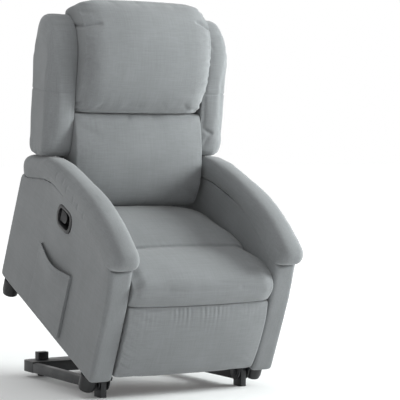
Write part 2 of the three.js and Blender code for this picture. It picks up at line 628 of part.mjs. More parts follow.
// The pad on the front of the board, and the cover that wraps the board's edges.
function footrestCushion() {
  const outline = [
    [0, 24], [0, 100], [0, PAD_TOP - 85], [0, PAD_TOP - 19], [-6, PAD_TOP - 5], [-20, PAD_TOP],
    [-34, PAD_TOP - 7], [-45, PAD_TOP - 29], [-52, PAD_TOP - 70], [-53, 140], [-50, 80], [-42, 34],
    [-28, PAD_BOTTOM + 2], [-8, PAD_BOTTOM],
  ].map(([depth, z]) => [PAD_BACK + depth, z]);
  const pad = cushion({
    outline: seatedOn(smoothOutline(outline, 2), 'y', PAD_BACK),
    spine: [[PAD_BACK - 21, 50], [PAD_BACK - 21, PAD_TOP - 39]],
    x0: -FOOTREST.half, x1: FOOTREST.half, crown: FOOTREST.crown, edge0: FOOTREST.edge,
  });
  const cover = sideExtrude(
    rectangle(PAD_BACK - FOOTREST.wrap, FOOTREST.back, PAD_BOTTOM, PAD_TOP, 3),
    -FOOTREST.half, FOOTREST.half, { segments: 1 });
  const room = block(-BOARD_HALF - GAP, BOARD_HALF + GAP, PAD_BACK, FOOTREST.back + 5,
    FOOTREST.boardBottom - GAP, FOOTREST.boardTop + GAP);
  return cut(join(pad, cover), room);
}
add(raised, 'footrest_cushion', footrestCushion(), FABRIC);

// ---------------------------------------------------------------- mechanism plates
function mechanismPlate(side) {
  const { inner, thickness } = PLATE;
  const [x0, x1] = span(side, inner, inner + thickness);
  const H = RECLINE_PIVOT;
  const top = SEAT_BASE + 24;
  const outline = roundedShape([[-308, 0, 8], [345, 0, 8], [345, 60, 12], [H.y + 19, H.z + 21, 18],
    [H.y - 19, H.z + 21, 18], [H.y - 26, 150, 30], [H.y - 90, 84, 40], [80, 84, 60], [-20, top, 30],
    [-308, top, 12]], 10);
  const windows = [
    roundedShape([[-248, 30], [-168, 30], [-168, 76], [-206, 112]], 12),
    roundedShape([[-92, 66], [-12, 66], [-36, 146], [-92, 146]], 14),
  ];
  outline.holes.push(...windows);
  const root = inner + thickness / 2;
  const studs = [G, G2].map((p) =>
    rodX(LINK.stud, ...span(side, lane(0)[0] - GAP, root), p.y, p.z, 12));
  const pivot = rodX(PIVOT_PLATE.stud, ...span(side, STILE.outer - GAP, root), H.y, H.z);
  return join(sideExtrude(outline, x0, x1), ...studs, pivot);
}
addPair(raised, 'mechanism_plate', mechanismPlate, STEEL);

// ---------------------------------------------------------------- seat
function seatRail(x0, x1, y0, y1) {
  return planExtrude(rectangle(x0, x1, y0, y1, 1.5), SEAT_FRAME.bottom, SEAT_FRAME.top, 2);
}
{
  const { thick, front, rear, half } = SEAT_FRAME;
  add(raised, 'seat_rail_front', seatRail(-half, half, front, front + thick), WOOD);
  add(raised, 'seat_rail_rear', seatRail(-half, half, rear - thick, rear), WOOD);
  addPair(raised, 'seat_rail', (side) => seatRail(...span(side, half - thick, half),
    front + thick + GAP, rear - thick - GAP), WOOD);
}

function seatSprings() {
  const { wire, sides, rows, spacing, swing, waves, steps } = SPRING;
  const z = SEAT_FRAME.top + GAP + wire;
  const y0 = SEAT_FRAME.front + SEAT_FRAME.thick / 2;
  const y1 = SEAT_FRAME.rear - SEAT_FRAME.thick / 2;
  const section = new THREE.Shape(Array.from({ length: sides }, (_, i) => {
    const a = ((i + 0.5) / sides) * 2 * Math.PI;
    return new THREE.Vector2(wire * Math.cos(a), wire * Math.sin(a));
  }));
  const wires = [];
  for (let row = 0; row < rows; row++) {
    const x = (row - (rows - 1) / 2) * spacing;
    const points = [];
    const count = waves * steps;
    for (let i = 0; i <= count; i++) {
      const t = i / count;
      points.push(new THREE.Vector3(x + swing * Math.sin(t * waves * 2 * Math.PI), y0 + (y1 - y0) * t, z));
    }
    const path = new THREE.CatmullRomCurve3(points);
    wires.push(new THREE.ExtrudeGeometry(section, { steps: count, curveSegments: 3, extrudePath: path }));
  }
  const tieHalf = ((rows - 1) / 2) * spacing + swing;
  const ties = [0.3, 0.7].map((t) => rodX(wire * 0.8, -tieHalf, tieHalf, y0 + (y1 - y0) * t, z, sides));
  return join(...wires, ...ties);
}
add(raised, 'seat_springs', seatSprings(), ZINC);

add(raised, 'seat_cushion', cushion({
  outline: seatedOn(smoothOutline([
    [150, 0], [-60, 0], [-250, 0], [-350, 1], [-374, 8.7], [-389, 27.7], [-395, 51.7],
    [-386, 76.7], [-352, 96.7], [-290, 106.7], [-225, 108.7], [-186, 104.7], [-174, 97.7],
    [-162, 104.7], [-120, 112.7], [-40, 116.7], [60, 110.7], [140, 92.7], [185, 76.7],
    [206, 60.7], [206, 24.7], [196, 4.7],
  ].map(([y, rise]) => [y, SEAT.bottom + rise]), 2), 'z', SEAT.bottom, -1),
  spine: [[-330, SEAT.bottom + 49.7], [150, SEAT.bottom + 44.7]],
  x0: -SEAT.half, x1: SEAT.half, crown: SEAT.crown, edge0: SEAT.edge,
}), FABRIC);

// ---------------------------------------------------------------- arms
// The arm top as a stuffed roll: sections across X along a curve, grown by extra all round.
function armRoll(side, extra) {
  const curve = new THREE.CatmullRomCurve3(ARM_PAD_LINE.map(([y, z]) => new THREE.Vector3(0, y, z)));
  const halves = new THREE.CatmullRomCurve3(ARM_PAD_HALF.map((h, i) => new THREE.Vector3(i, h, 0)));
  const rings = [];
  const around = 20;
  const squareness = 2 / 2.7; // of the section: 1 is an ellipse
  const ring = (t, push, scale) => {
    const centre = curve.getPoint(t);
    const tangent = curve.getTangent(t);
    const normal = new THREE.Vector3(0, -tangent.z, tangent.y).multiplyScalar(tangent.y < 0 ? -1 : 1);
    const height = (halves.getPoint(t).y + extra) * scale;
    const width = (ARM_PAD.halfWidth + extra) * (0.35 + 0.65 * scale);
    centre.setX(side * ARM_PAD.x).addScaledVector(tangent, push);
    const points = [];
    for (let j = 0; j < around; j++) {
      const a = (j / around) * 2 * Math.PI;
      const c = Math.cos(a);
      const s = Math.sin(a);
      const u = Math.sign(c) * Math.abs(c) ** squareness * width;
      const v = Math.sign(s) * Math.abs(s) ** squareness * height;
      points.push(new THREE.Vector3(u, 0, 0).add(centre).addScaledVector(normal, v));
    }
    rings.push(points);
  };
  const end = ARM_PAD.end + extra;
  for (const a of [80, 60, 40, 20]) ring(0, -end * Math.sin(a * DEG), Math.cos(a * DEG));
  for (let i = 0; i <= 12; i++) ring(i / 12, 0, 1);
  for (const a of [20, 40, 60, 80]) ring(1, end * Math.sin(a * DEG), Math.cos(a * DEG));
  return loft(rings);
}

function handleOutline(grow) {
  const w = HANDLE.width / 2 + grow;
  const h = HANDLE.height / 2 + grow;
  return rectangle(HANDLE.y - w, HANDLE.y + w, HANDLE.z - h, HANDLE.z + h, HANDLE.corner + grow);
}

function armBody(side) {
  const [x0, x1] = span(side, ARM.inner, ARM.outer);
  const line = new THREE.CatmullRomCurve3(ARM_PAD_LINE.map(([y, z]) => new THREE.Vector3(0, y, z)));
  const top = line.getPoints(5).map((p) => [p.y, p.z - ARM.underPad, 14]);
  const outline = roundedShape([
    [ARM.bottomRear, 0, 14], [ARM.bottomRear - ARM.rearLean, ARM.rearTop, 12],
    ...top,
    [ARM.bottomFront + ARM.frontLean, ARM.frontTop, 10],
    [ARM.bottomFront + ARM.bowLean, ARM.bowTop, ARM.bowRadius], [ARM.bottomFront, 0, 14],
  ].reverse(), 12);
  const panel = sideExtrude(outline, x0, x1, { bevel: ARM.edge, segments: 2 });
  const body = cut(panel, armRoll(side, 0.6));
  if (side > 0) return body;
  const recess = sideExtrude(handleOutline(GAP - HANDLE.rim), -ARM.outer - 5,
    -ARM.outer + HANDLE.depth + 1, { segments: 6 });
  return cut(body, recess);
}
addPair(raised, 'arm_body', armBody, FABRIC);
addPair(raised, 'arm_pad', (side) => armRoll(side, 0), FABRIC);

// ---------------------------------------------------------------- release handle and pocket
const FACE = -ARM.outer; // outer face of the right arm
const CUP_INSET = HANDLE.rim + HANDLE.wall;
const CUP_HALF = HANDLE.width / 2 - CUP_INSET; // half the length of the bezel's hollow
const PADDLE_AXIS = {
  x: FACE + PADDLE.axis,
  y: HANDLE.y + CUP_HALF - PADDLE.clearance - PADDLE.barrel / 2,
};
function handleBezel() {
  const rim = sideExtrude(handleOutline(0), FACE - HANDLE.stand, FACE - GAP,
    { segments: 4, bevel: 1.8 });
  const cup = sideExtrude(handleOutline(-HANDLE.rim), FACE - 2, FACE + HANDLE.depth, { segments: 4 });
  const hollow = sideExtrude(handleOutline(-CUP_INSET), FACE - HANDLE.stand - 2,
    FACE + HANDLE.depth - HANDLE.wall, { segments: 4 });
  return cut(join(rim, cup), hollow);
}
// Half the height of the bezel's hollow, at a distance from the middle of the handle.
function cupHalfHeight(offset) {
  const corner = HANDLE.corner - CUP_INSET;
  const past = Math.max(0, offset - (CUP_HALF - corner)) / corner;
  return HANDLE.height / 2 - CUP_INSET - corner * (1 - Math.sqrt(1 - past)) ** 2;
}

function releaseLever() {
  const { clearance, finger, tip, taper, thickness, barrel, setIn } = PADDLE;
  const front = HANDLE.y - CUP_HALF + finger;
  const rear = HANDLE.y + CUP_HALF - clearance;
  const half = HANDLE.height / 2 - CUP_INSET - clearance;
  const outline = roundedShape([
    [front + tip, HANDLE.z - half + taper], [rear, HANDLE.z - half],
    [rear, HANDLE.z + half], [front + tip, HANDLE.z + half - taper], [front, HANDLE.z, 30],
  ], 10);
  const plate = sideExtrude(outline, FACE + setIn, FACE + setIn + thickness, { segments: 5 });
  const reach = cupHalfHeight(PADDLE_AXIS.y + barrel - HANDLE.y) - GAP;
  const knuckle = new THREE.CylinderGeometry(barrel, barrel, 2 * reach, 16)
    .rotateX(Math.PI / 2)
    .translate(PADDLE_AXIS.x, PADDLE_AXIS.y, HANDLE.z);
  return join(plate, knuckle);
}
add(raised, 'handle_bezel', handleBezel(), PLASTIC);
add(raised, 'release_lever', releaseLever(), PLASTIC);

function sidePocket() {
  const { front, rear, bottom, top, sheet, cavity, sag } = POCKET;
  const outer = FACE - GAP - cavity - sheet;
  const outline = roundedShape([[front, bottom, 10], [rear, bottom, 10], [rear, top, 3],
    [(front + rear) / 2, top - sag * 2, 90], [front, top, 3]], 4);
  const inside = rectangle(front + sheet, rear - sheet, bottom + sheet, top + 30, 8);
  return cut(sideExtrude(outline, outer, FACE - GAP, { segments: 6 }),
    sideExtrude(inside, outer + sheet, FACE + 5, { segments: 4 }));
}
add(raised, 'side_pocket', sidePocket(), FABRIC);

const REAR_PANEL = { front: 362, rear: 374, bottom: 6, top: ARM.rearTop - 15 };
add(raised, 'rear_panel', sideExtrude(
  rectangle(REAR_PANEL.front, REAR_PANEL.rear, REAR_PANEL.bottom, REAR_PANEL.top, 5),
  -ARM.inner + GAP, ARM.inner - GAP, { segments: 3 }), FABRIC);

// ---------------------------------------------------------------- backrest
function backStile(side) {
  const { inner, outer, front, rear, bottom, top } = STILE;
  const [x0, x1] = span(side, inner, outer);
  const [p0, p1] = span(side, outer - 1, outer + PIVOT_PLATE.thickness);
  const stile = sideExtrude(rectangle(front, rear, bottom, top, 2), x0, x1, { segments: 2 });
  const elbow = { y: (front + rear) / 2, z: 40 };
  const end = { y: elbow.y, z: 110 };
  const lowerArm = barShape({ y: 0, z: 0 }, elbow, PIVOT_PLATE.radius);
  const upperArm = barShape(elbow, end, PIVOT_PLATE.radius - 4);
  const plate = join(
    sideExtrude(lowerArm, p0, p1, { segments: 6 }),
    sideExtrude(upperArm, p0, p1, { segments: 4 }),
  );
  return cut(join(stile, plate), rodX(PIVOT_PLATE.stud + PLAY, p0 - 40, p1 + 40, 0, 0));
}
addPair(back, 'back_stile', backStile, WOOD);
const railSpan = STILE.inner - GAP;
const backRail = (bottom) =>
  block(-railSpan, railSpan, STILE.front, STILE.rear, bottom, bottom + STILE.rail);
add(back, 'back_rail_top', backRail(STILE.top - STILE.rail), WOOD);
add(back, 'back_rail_bottom', backRail(STILE.bottom + 12), WOOD);
add(back, 'back_cover', sideExtrude(
  rectangle(STILE.rear + GAP, BACK_COVER.rear, BACK_COVER.bottom, BACK_COVER.top, 6),
  -BACK_COVER.half, BACK_COVER.half, { segments: 3 }), FABRIC);

const PAD_REAR = STILE.front - GAP;
add(back, 'back_lower_cushion', cushion({
  outline: seatedOn(smoothOutline([
    [PAD_REAR, 24], [PAD_REAR, 120], [PAD_REAR, 220], [PAD_REAR, 300], [PAD_REAR - 10, 318],
    [-140, 321], [-176, 311], [-200, 282], [-214, 230], [-221, 165], [-220, 95], [-206, 36], [-180, 2],
    [-158, -10], [-120, 0], [PAD_REAR - 8, 10]], 2), 'y', PAD_REAR),
  spine: [[-150, 60], [-145, 250]],
  x0: -LOWER_BACK.half, x1: LOWER_BACK.half, crown: LOWER_BACK.crown, edge0: LOWER_BACK.edge,
}), FABRIC);
add(back, 'head_cushion', cushion({
  outline: smoothOutline([
    [PAD_REAR, 340], [PAD_REAR, 440], [PAD_REAR, 560], [PAD_REAR, 628], [-76, 645], [-56, 650],
    [-56, 668], [-84, 688], [-130, 697], [-180, 688], [-228, 655], [-258, 600], [-272, 530], [-270, 460],
    [-252, 392], [-222, 348], [-180, 328], [-130, 326], [PAD_REAR - 8, 328]], 2),
  spine: [[-165, 400], [-160, 600]],
  x0: -HEAD.half, x1: HEAD.half, crown: HEAD.crown, edge0: HEAD.edge,
}), FABRIC);

function wing(side) {
  const { inner, outer, front, rear, bottom, top, crown, edgeInner, edgeOuter, taper } = WING;
  const middle = (bottom + top) / 2;
  const outline = smoothOutline([
    [rear - 20, bottom + 6], [rear - 75, bottom], [front + 50, bottom + 8], [front + 28, bottom + 36],
    [front + 8, middle], [front, top - 130], [front + 16, top - 58], [front + 62, top - 10],
    [front + 108, top], [rear - 24, top - 14], [rear - 9, top - 60], [rear - 3, middle],
    [rear, bottom + 34],
  ], 2);
  const [x0, x1] = span(side, inner, outer);
  const spine = [[(front + rear) / 2, bottom + 75], [(front + rear) / 2, top - 75]];
  const [edge0, edge1] = side < 0 ? [edgeOuter, edgeInner] : [edgeInner, edgeOuter];
  const form = cushion({ outline, spine, x0, x1, crown, edge0, edge1, steps: 3 });
  const positions = form.attributes.position;
  for (let i = 0; i < positions.count; i++) {
    const up = Math.max(0, (positions.getZ(i) - middle) / (top - middle));
    const out = (Math.abs(positions.getX(i)) - inner) / (outer - inner);
    positions.setX(i, positions.getX(i) - side * taper * up * up * out);
  }
  return form;
}
addPair(back, 'back_wing', wing, FABRIC);

// ---------------------------------------------------------------- origin
// The part's origin is under the middle of its bounding box.
chair.updateMatrixWorld(true);
const bounds = new THREE.Box3().setFromObject(chair, true);
base.position.set(0, -(bounds.min.y + bounds.max.y) / 2, 0);
chair.updateMatrixWorld(true);

// Where each joint turns or slides, in the part's frame, for reading off.
const world = (group, p) => group.localToWorld(new THREE.Vector3(p.x ?? 0, p.y, p.z)).toArray();
chair.userData.joints = {
  lift: world(base, LIFT_PIVOT),
  actuator: world(base, lowerPin),
  tilt: LIFT_ANGLE / DEG,
  slope: RAISED_LINE.slope / DEG,
  slopeSeated: SEATED_LINE.slope / DEG,
  stroke: RAISED_LINE.length - SEATED_LINE.length,
  recline: world(raised, RECLINE_PIVOT),
  rearLink: world(raised, G),
  rearControl: world(raised, G2),
  knee: world(raised, K),
  frontControl: world(raised, K3),
  footrest: world(raised, M),
  lever: world(raised, { x: PADDLE_AXIS.x, y: PADDLE_AXIS.y, z: HANDLE.z }),
  leverSign: -1,
  shift: base.position.y,
};

export default chair;
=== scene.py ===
"""Lift recliner chair: upholstery, metal finishes and studio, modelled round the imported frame."""
import json
import math

import bpy
import numpy as np
from bpy.props import FloatProperty, FloatVectorProperty, IntProperty, PointerProperty
from bpy.types import Operator, Panel, PropertyGroup
from mathutils import Matrix, Vector

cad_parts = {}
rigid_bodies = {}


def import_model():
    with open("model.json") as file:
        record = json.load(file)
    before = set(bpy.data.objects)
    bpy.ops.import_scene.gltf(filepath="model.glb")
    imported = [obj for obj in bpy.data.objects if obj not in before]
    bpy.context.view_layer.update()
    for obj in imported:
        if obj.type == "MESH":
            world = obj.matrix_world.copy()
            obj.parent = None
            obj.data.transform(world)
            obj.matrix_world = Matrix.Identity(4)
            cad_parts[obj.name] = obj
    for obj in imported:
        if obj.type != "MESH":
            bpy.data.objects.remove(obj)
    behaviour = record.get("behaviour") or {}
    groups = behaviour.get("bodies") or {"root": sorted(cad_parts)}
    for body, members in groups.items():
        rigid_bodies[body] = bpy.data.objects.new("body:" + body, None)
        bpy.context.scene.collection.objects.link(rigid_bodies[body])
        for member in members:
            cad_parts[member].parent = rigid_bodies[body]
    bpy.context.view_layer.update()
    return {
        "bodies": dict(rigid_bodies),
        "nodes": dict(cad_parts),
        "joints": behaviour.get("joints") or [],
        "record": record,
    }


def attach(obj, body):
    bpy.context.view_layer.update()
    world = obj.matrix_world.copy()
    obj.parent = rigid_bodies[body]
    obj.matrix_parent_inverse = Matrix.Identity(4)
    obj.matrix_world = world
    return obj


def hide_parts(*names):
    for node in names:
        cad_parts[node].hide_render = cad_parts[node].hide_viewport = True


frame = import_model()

bl_info = {
    "name": "Lift Recliner Chair",
    "version": (1, 0, 0),
    "blender": (4, 5, 0),
    "location": "View3D > Sidebar > Recliner",
    "description": "Upholsters and finishes a lift recliner chair round its packed frame",
    "category": "Object",
}

# ---------------------------------------------------------------- frames of the chair
JOINTS = {joint["name"]: joint for joint in frame["joints"]}
SLOTS = {part["node"]: part["material_slot"] for part in frame["record"]["subparts"]}
TILT = math.radians(-JOINTS["lift"]["range_deg"][0])  # of the raised chair
LEAN = math.radians(20.56)  # of the back, from the chair's own upright
HINGE = Vector((0, -0.3089, -0.03715))  # the lift hinge, from under the middle of the body


def turned(angle):
    return Matrix.Rotation(angle, 4, "X")


CHAIR = Matrix.Translation(JOINTS["lift"]["pos_m"]) @ turned(TILT) @ Matrix.Translation(-HINGE)
BACK = Matrix.Translation(JOINTS["recline"]["pos_m"]) @ turned(TILT - LEAN)
SIDES = (("right", -1), ("left", 1))  # the chair's own right is towards -X
SPLIT = 0.3118  # height on the back where the head cushion meets the lower one


# ---------------------------------------------------------------- settings
class FabricSettings(PropertyGroup):
    """Colour and weave of the cover."""

    colour: FloatVectorProperty(
        name="Colour", description="Main colour of the cover", subtype="COLOR",
        default=(0.211, 0.22, 0.226), min=0, max=1)
    shade: FloatVectorProperty(
        name="Dark yarn", description="Colour of the darker yarns", subtype="COLOR",
        default=(0.183, 0.19, 0.195), min=0, max=1)
    yarn: FloatProperty(
        name="Yarn", description="Width of one yarn of the weave", unit="LENGTH",
        default=0.0011, min=0.0002, max=0.01)
    slub: FloatProperty(
        name="Slub", description="Length of the thicker stretches of a yarn", unit="LENGTH",
        default=0.028, min=0.005, max=0.2)


class StuffingSettings(PropertyGroup):
    """How the cushions are filled and simulated."""

    voxel: FloatProperty(
        name="Mesh size", description="Size of the cushion mesh before it is simulated",
        unit="LENGTH", default=0.0075, min=0.003, max=0.02)
    pressure: FloatProperty(
        name="Pressure", description="Pressure of the stuffing", default=4.0, min=0, max=20)
    cap: FloatProperty(
        name="Cap", description="Farthest that the stuffing may push a point",
        unit="LENGTH", default=0.024, min=0, max=0.05)
    frames: IntProperty(
        name="Frames", description="Simulated frames", default=20, min=2, max=60)


class MetalSettings(PropertyGroup):
    """Finish of the lift base and the mechanism."""

    coat: FloatVectorProperty(
        name="Coat", description="Colour of the powder coat", subtype="COLOR",
        default=(0.018, 0.019, 0.021), min=0, max=1)
    edge: FloatProperty(
        name="Edge", description="Rounding of folded and cut edges", unit="LENGTH",
        default=0.0009, min=0.0001, max=0.01)


class StageSettings(PropertyGroup):
    """Camera and studio."""

    azimuth: FloatProperty(
        name="Azimuth", description="Direction that the camera looks from", subtype="ANGLE",
        default=math.radians(-31.1))
    elevation: FloatProperty(
        name="Elevation", description="Height of the camera above the horizon", subtype="ANGLE",
        default=math.radians(2.05))
    roll: FloatProperty(
        name="Roll", description="Turn of the camera about its own axis", subtype="ANGLE",
        default=math.radians(0.25))
    distance: FloatProperty(
        name="Distance", description="Camera to the point it looks at", unit="LENGTH", default=6.2)
    aim: FloatVectorProperty(
        name="Aim", description="Point that the camera looks at", subtype="XYZ", unit="LENGTH",
        default=(0.269, 0.0985, 0.631))
    lens: FloatProperty(
        name="Lens", description="Focal length in millimetres", default=156.6, min=10, max=500)


# ---------------------------------------------------------------- modelling helpers
def select_only(piece):
    bpy.ops.object.select_all(action="DESELECT")
    piece.select_set(True)
    bpy.context.view_layer.objects.active = piece


def copy_of(node, name):
    """A copy of a CAD node as one connected mesh."""
    piece = bpy.data.objects.new(name, frame["nodes"][node].data.copy())
    bpy.context.scene.collection.objects.link(piece)
    piece.data.materials.clear()
    select_only(piece)
    bpy.ops.object.mode_set(mode="EDIT")
    bpy.ops.mesh.select_all(action="SELECT")
    bpy.ops.mesh.remove_doubles(threshold=1e-5)
    bpy.ops.mesh.customdata_custom_splitnormals_clear()
    bpy.ops.object.mode_set(mode="OBJECT")
    return piece


def points(piece):
    co = np.empty(len(piece.data.vertices) * 3)
    piece.data.vertices.foreach_get("co", co)
    return co.reshape(-1, 3)


def normals(piece):
    no = np.empty(len(piece.data.vertices) * 3)
    piece.data.vertex_normals.foreach_get("vector", no)
    return no.reshape(-1, 3)


def set_points(piece, co):
    piece.data.vertices.foreach_set("co", np.ascontiguousarray(co, dtype=np.float64).ravel())
    piece.data.update()


def apply(piece, kind, **options):
    """Adds a modifier with these options and applies it."""
    select_only(piece)
    modifier = piece.modifiers.new(kind.title(), kind)
    for key, value in options.items():
        setattr(modifier, key, value)
    bpy.ops.object.modifier_apply(modifier=modifier.name)


def smooth(piece):
    select_only(piece)
    bpy.ops.object.shade_smooth()


def finish_piece(piece, body, material, node):
    piece.data.materials.clear()
    piece.data.materials.append(material)
    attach(piece, body)
    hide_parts(node)


def settle(piece, home, body, cover, node):
    """Moves an upholstered piece from the frame of home to its place, and finishes it."""
    piece.data.transform(home)
    smooth(piece)
    finish_piece(piece, body, MATERIALS[cover], node)


# ---------------------------------------------------------------- soft pieces
CLOTH = {
    "quality": 4, "mass": 0.25, "tension_stiffness": 20, "compression_stiffness": 20,
    "shear_stiffness": 8, "bending_stiffness": 0.6, "use_pressure": True,
}
PIN_LEVELS = 10  # steps between a free point and a pinned one
LAST_REACH = 0.012  # how far a wall still draws the surface after the simulation


def x_of(co):
    return co[:, 0]


def y_of(co):
    return co[:, 1]


def z_of(co):
    return co[:, 2]


def inside(half):
    """Distance of each point from the two sides of a cushion, inwards."""
    return lambda co: half - np.abs(co[:, 0])


def below(level):
    """Distance of each point below a level."""
    return lambda co: level - co[:, 2]


def remesh(piece, voxel):
    select_only(piece)
    piece.data.remesh_voxel_size = voxel
    piece.data.use_remesh_fix_poles = False
    bpy.ops.object.voxel_remesh()


def inflate(piece, weights, cap, stuffing):
    """Fills the piece by a cloth simulation. weights pins each point, from 0 for free to 1."""
    before = points(piece)
    group = piece.vertex_groups.new(name="pins")
    for level in range(1, PIN_LEVELS + 1):
        chosen = np.flatnonzero(np.rint(weights * PIN_LEVELS) == level)
        if len(chosen):
            group.add(chosen.tolist(), level / PIN_LEVELS, "REPLACE")
    select_only(piece)
    cloth = piece.modifiers.new("Cloth", "CLOTH")
    for key, value in CLOTH.items():
        setattr(cloth.settings, key, value)
    cloth.settings.uniform_pressure_force = stuffing.pressure
    cloth.settings.effector_weights.gravity = 0
    cloth.settings.vertex_group_mass = "pins"
    cloth.collision_settings.use_collision = False
    scene = bpy.context.scene
    for number in range(1, stuffing.frames + 1):
        scene.frame_set(number)
    bpy.ops.object.modifier_apply(modifier=cloth.name)
    scene.frame_set(1)
    piece.vertex_groups.clear()
    moved = points(piece) - before
    far = np.linalg.norm(moved, axis=1, keepdims=True)
    set_points(piece, before + moved * np.minimum(1, cap / np.maximum(far, 1e-9)))


def ramp(x, low, high):
    """0 below low, 1 above high, and smooth between."""
    t = np.clip((x - low) / (high - low), 0, 1)
    return t * t * (3 - 2 * t)


def press(co, axis, plane, reach, mask):
    """Leans the points within reach of a plane against it, so a round edge becomes tighter."""
    gap = co[:, axis] - plane
    side = np.sign(np.median(gap))
    near = np.maximum(gap * side, 0)
    drawn = near * ramp(near, 0, reach)
    amount = mask(co) if mask else 1.0
    co[:, axis] = plane + side * (near + (drawn - near) * amount)


def stuffed(node, name, home, pins, walls=(), inset=0.004, cap=None, voxel=None):
    """The CAD solid as a filled cover, in the frame of home: remeshed, leant against its
    neighbours, inflated and subdivided. pins gives each point's hold, from 0 for free to 1, and
    the simulation starts from a surface drawn in by inset."""
    stuffing = bpy.context.scene.recliner_stuffing
    piece = copy_of(node, name)
    piece.data.transform(home.inverted())
    remesh(piece, voxel or stuffing.voxel)
    apply(piece, "SMOOTH", factor=0.5, iterations=6)
    co = points(piece)
    for wall in walls:
        press(co, *wall)
    set_points(piece, co)
    weights = pins(co)
    set_points(piece, co - normals(piece) * (inset * (1 - weights))[:, None])
    inflate(piece, weights, cap or stuffing.cap, stuffing)
    apply(piece, "SMOOTH", factor=0.5, iterations=3)
    apply(piece, "SUBSURF", levels=1, render_levels=1)
    co = points(piece)
    for axis, plane, reach, mask in walls:
        press(co, axis, plane, min(reach, LAST_REACH), mask)
    set_points(piece, co)
    return piece


def stretched(node, name, home, voxel, passes, divide=True):
    """The CAD solid as a cover stretched over boards, in the frame of home, with its edges
    rounded by passes of smoothing."""
    piece = copy_of(node, name)
    piece.data.transform(home.inverted())
    remesh(piece, voxel)
    apply(piece, "SMOOTH", factor=0.5, iterations=passes)
    if divide:
        apply(piece, "SUBSURF", levels=1, render_levels=1)
    return piece


def wall(axis, plane, reach, mask=None):
    """A plane across an axis that the cover leans against, within reach of it and by mask."""
    return "xyz".index(axis), plane, reach, mask


def both_sides(half, reach, mask=None):
    """The two walls across X at this distance from the middle."""
    return wall("x", -half, reach, mask), wall("x", half, reach, mask)


def at_sides(co, half, start=0.01, full=0.002):
    """1 at the two sides of a cushion and 0 further in."""
    return ramp(np.abs(co[:, 0]), half - start, half - full)


def square_ends(piece, half, level, radius, amount):
    """Widens the rows near a level of the cushion, so its corners there reach the full width."""
    co = points(piece)
    near = np.clip(np.abs(co[:, 2] - level) / radius, 0, 1)
    width = half - radius * (1 - np.sqrt(1 - (1 - near) ** 2))
    co[:, 0] = np.clip(co[:, 0] * (1 + amount * (half / width - 1)), -half, half)
    set_points(piece, co)


def carve(piece, *shapes):
    """Moves each point along its normal by the sum of the shapes, each a function of the points."""
    co = points(piece)
    lift = sum(shape(co) for shape in shapes)
    set_points(piece, co + normals(piece) * lift[:, None])


def tuck(path, width, depth, fade, axes=(0, 2), mask=None):
    """A short sewn line along a path seen across the two axes, pressed in by depth and fading
    at its ends."""
    overrun = -0.004
    path = [np.array(p, float) for p in path]
    lengths = [np.linalg.norm(b - a) for a, b in zip(path, path[1:])]

    def shape(co):
        seen = co[:, axes]
        best = np.full(len(co), np.inf)
        along = np.zeros(len(co))
        done = 0
        for a, b, length in zip(path, path[1:], lengths):
            t = np.clip(((seen - a) @ (b - a)) / length ** 2, 0, 1)
            gap = np.linalg.norm(seen - (a + t[:, None] * (b - a)), axis=1)
            nearer = gap < best
            best[nearer] = gap[nearer]
            along[nearer] = (done + t * length)[nearer]
            done += length
        ends = ramp(along, overrun, fade) * ramp(done - along, overrun, fade)
        lift = -depth * ends * np.exp(-(best / width) ** 2)
        return lift * mask(co) if mask else lift
    return shape


def crease(distance, width, depth, mask=None):
    """A sewn line where the function distance is zero."""
    def shape(co):
        lift = -depth * np.exp(-(distance(co) / width) ** 2)
        return lift * mask(co) if mask else lift
    return shape


def gathers(along, away, pitch, height, length, seed, mask=None):
    """Small folds across a seam: along runs with the seam, away is the distance from it, and
    length is how far they reach."""
    waves, level, sharpness, clear = 4, 2.2, 1.3, 0.006
    rng = np.random.default_rng(seed)
    phases = rng.uniform(0, 2 * math.pi, waves)
    factors = rng.uniform(0.55, 1.6, waves)

    def shape(co):
        s = along(co)
        d = np.abs(away(co))
        wave = sum(np.sin(2 * math.pi * s / (pitch * f) + p) for f, p in zip(factors, phases))
        wave = np.sign(wave) * np.abs(wave / level) ** sharpness
        lift = height * wave * np.exp(-d / length) * ramp(d, 0, clear)
        return lift * mask(co) if mask else lift
    return shape


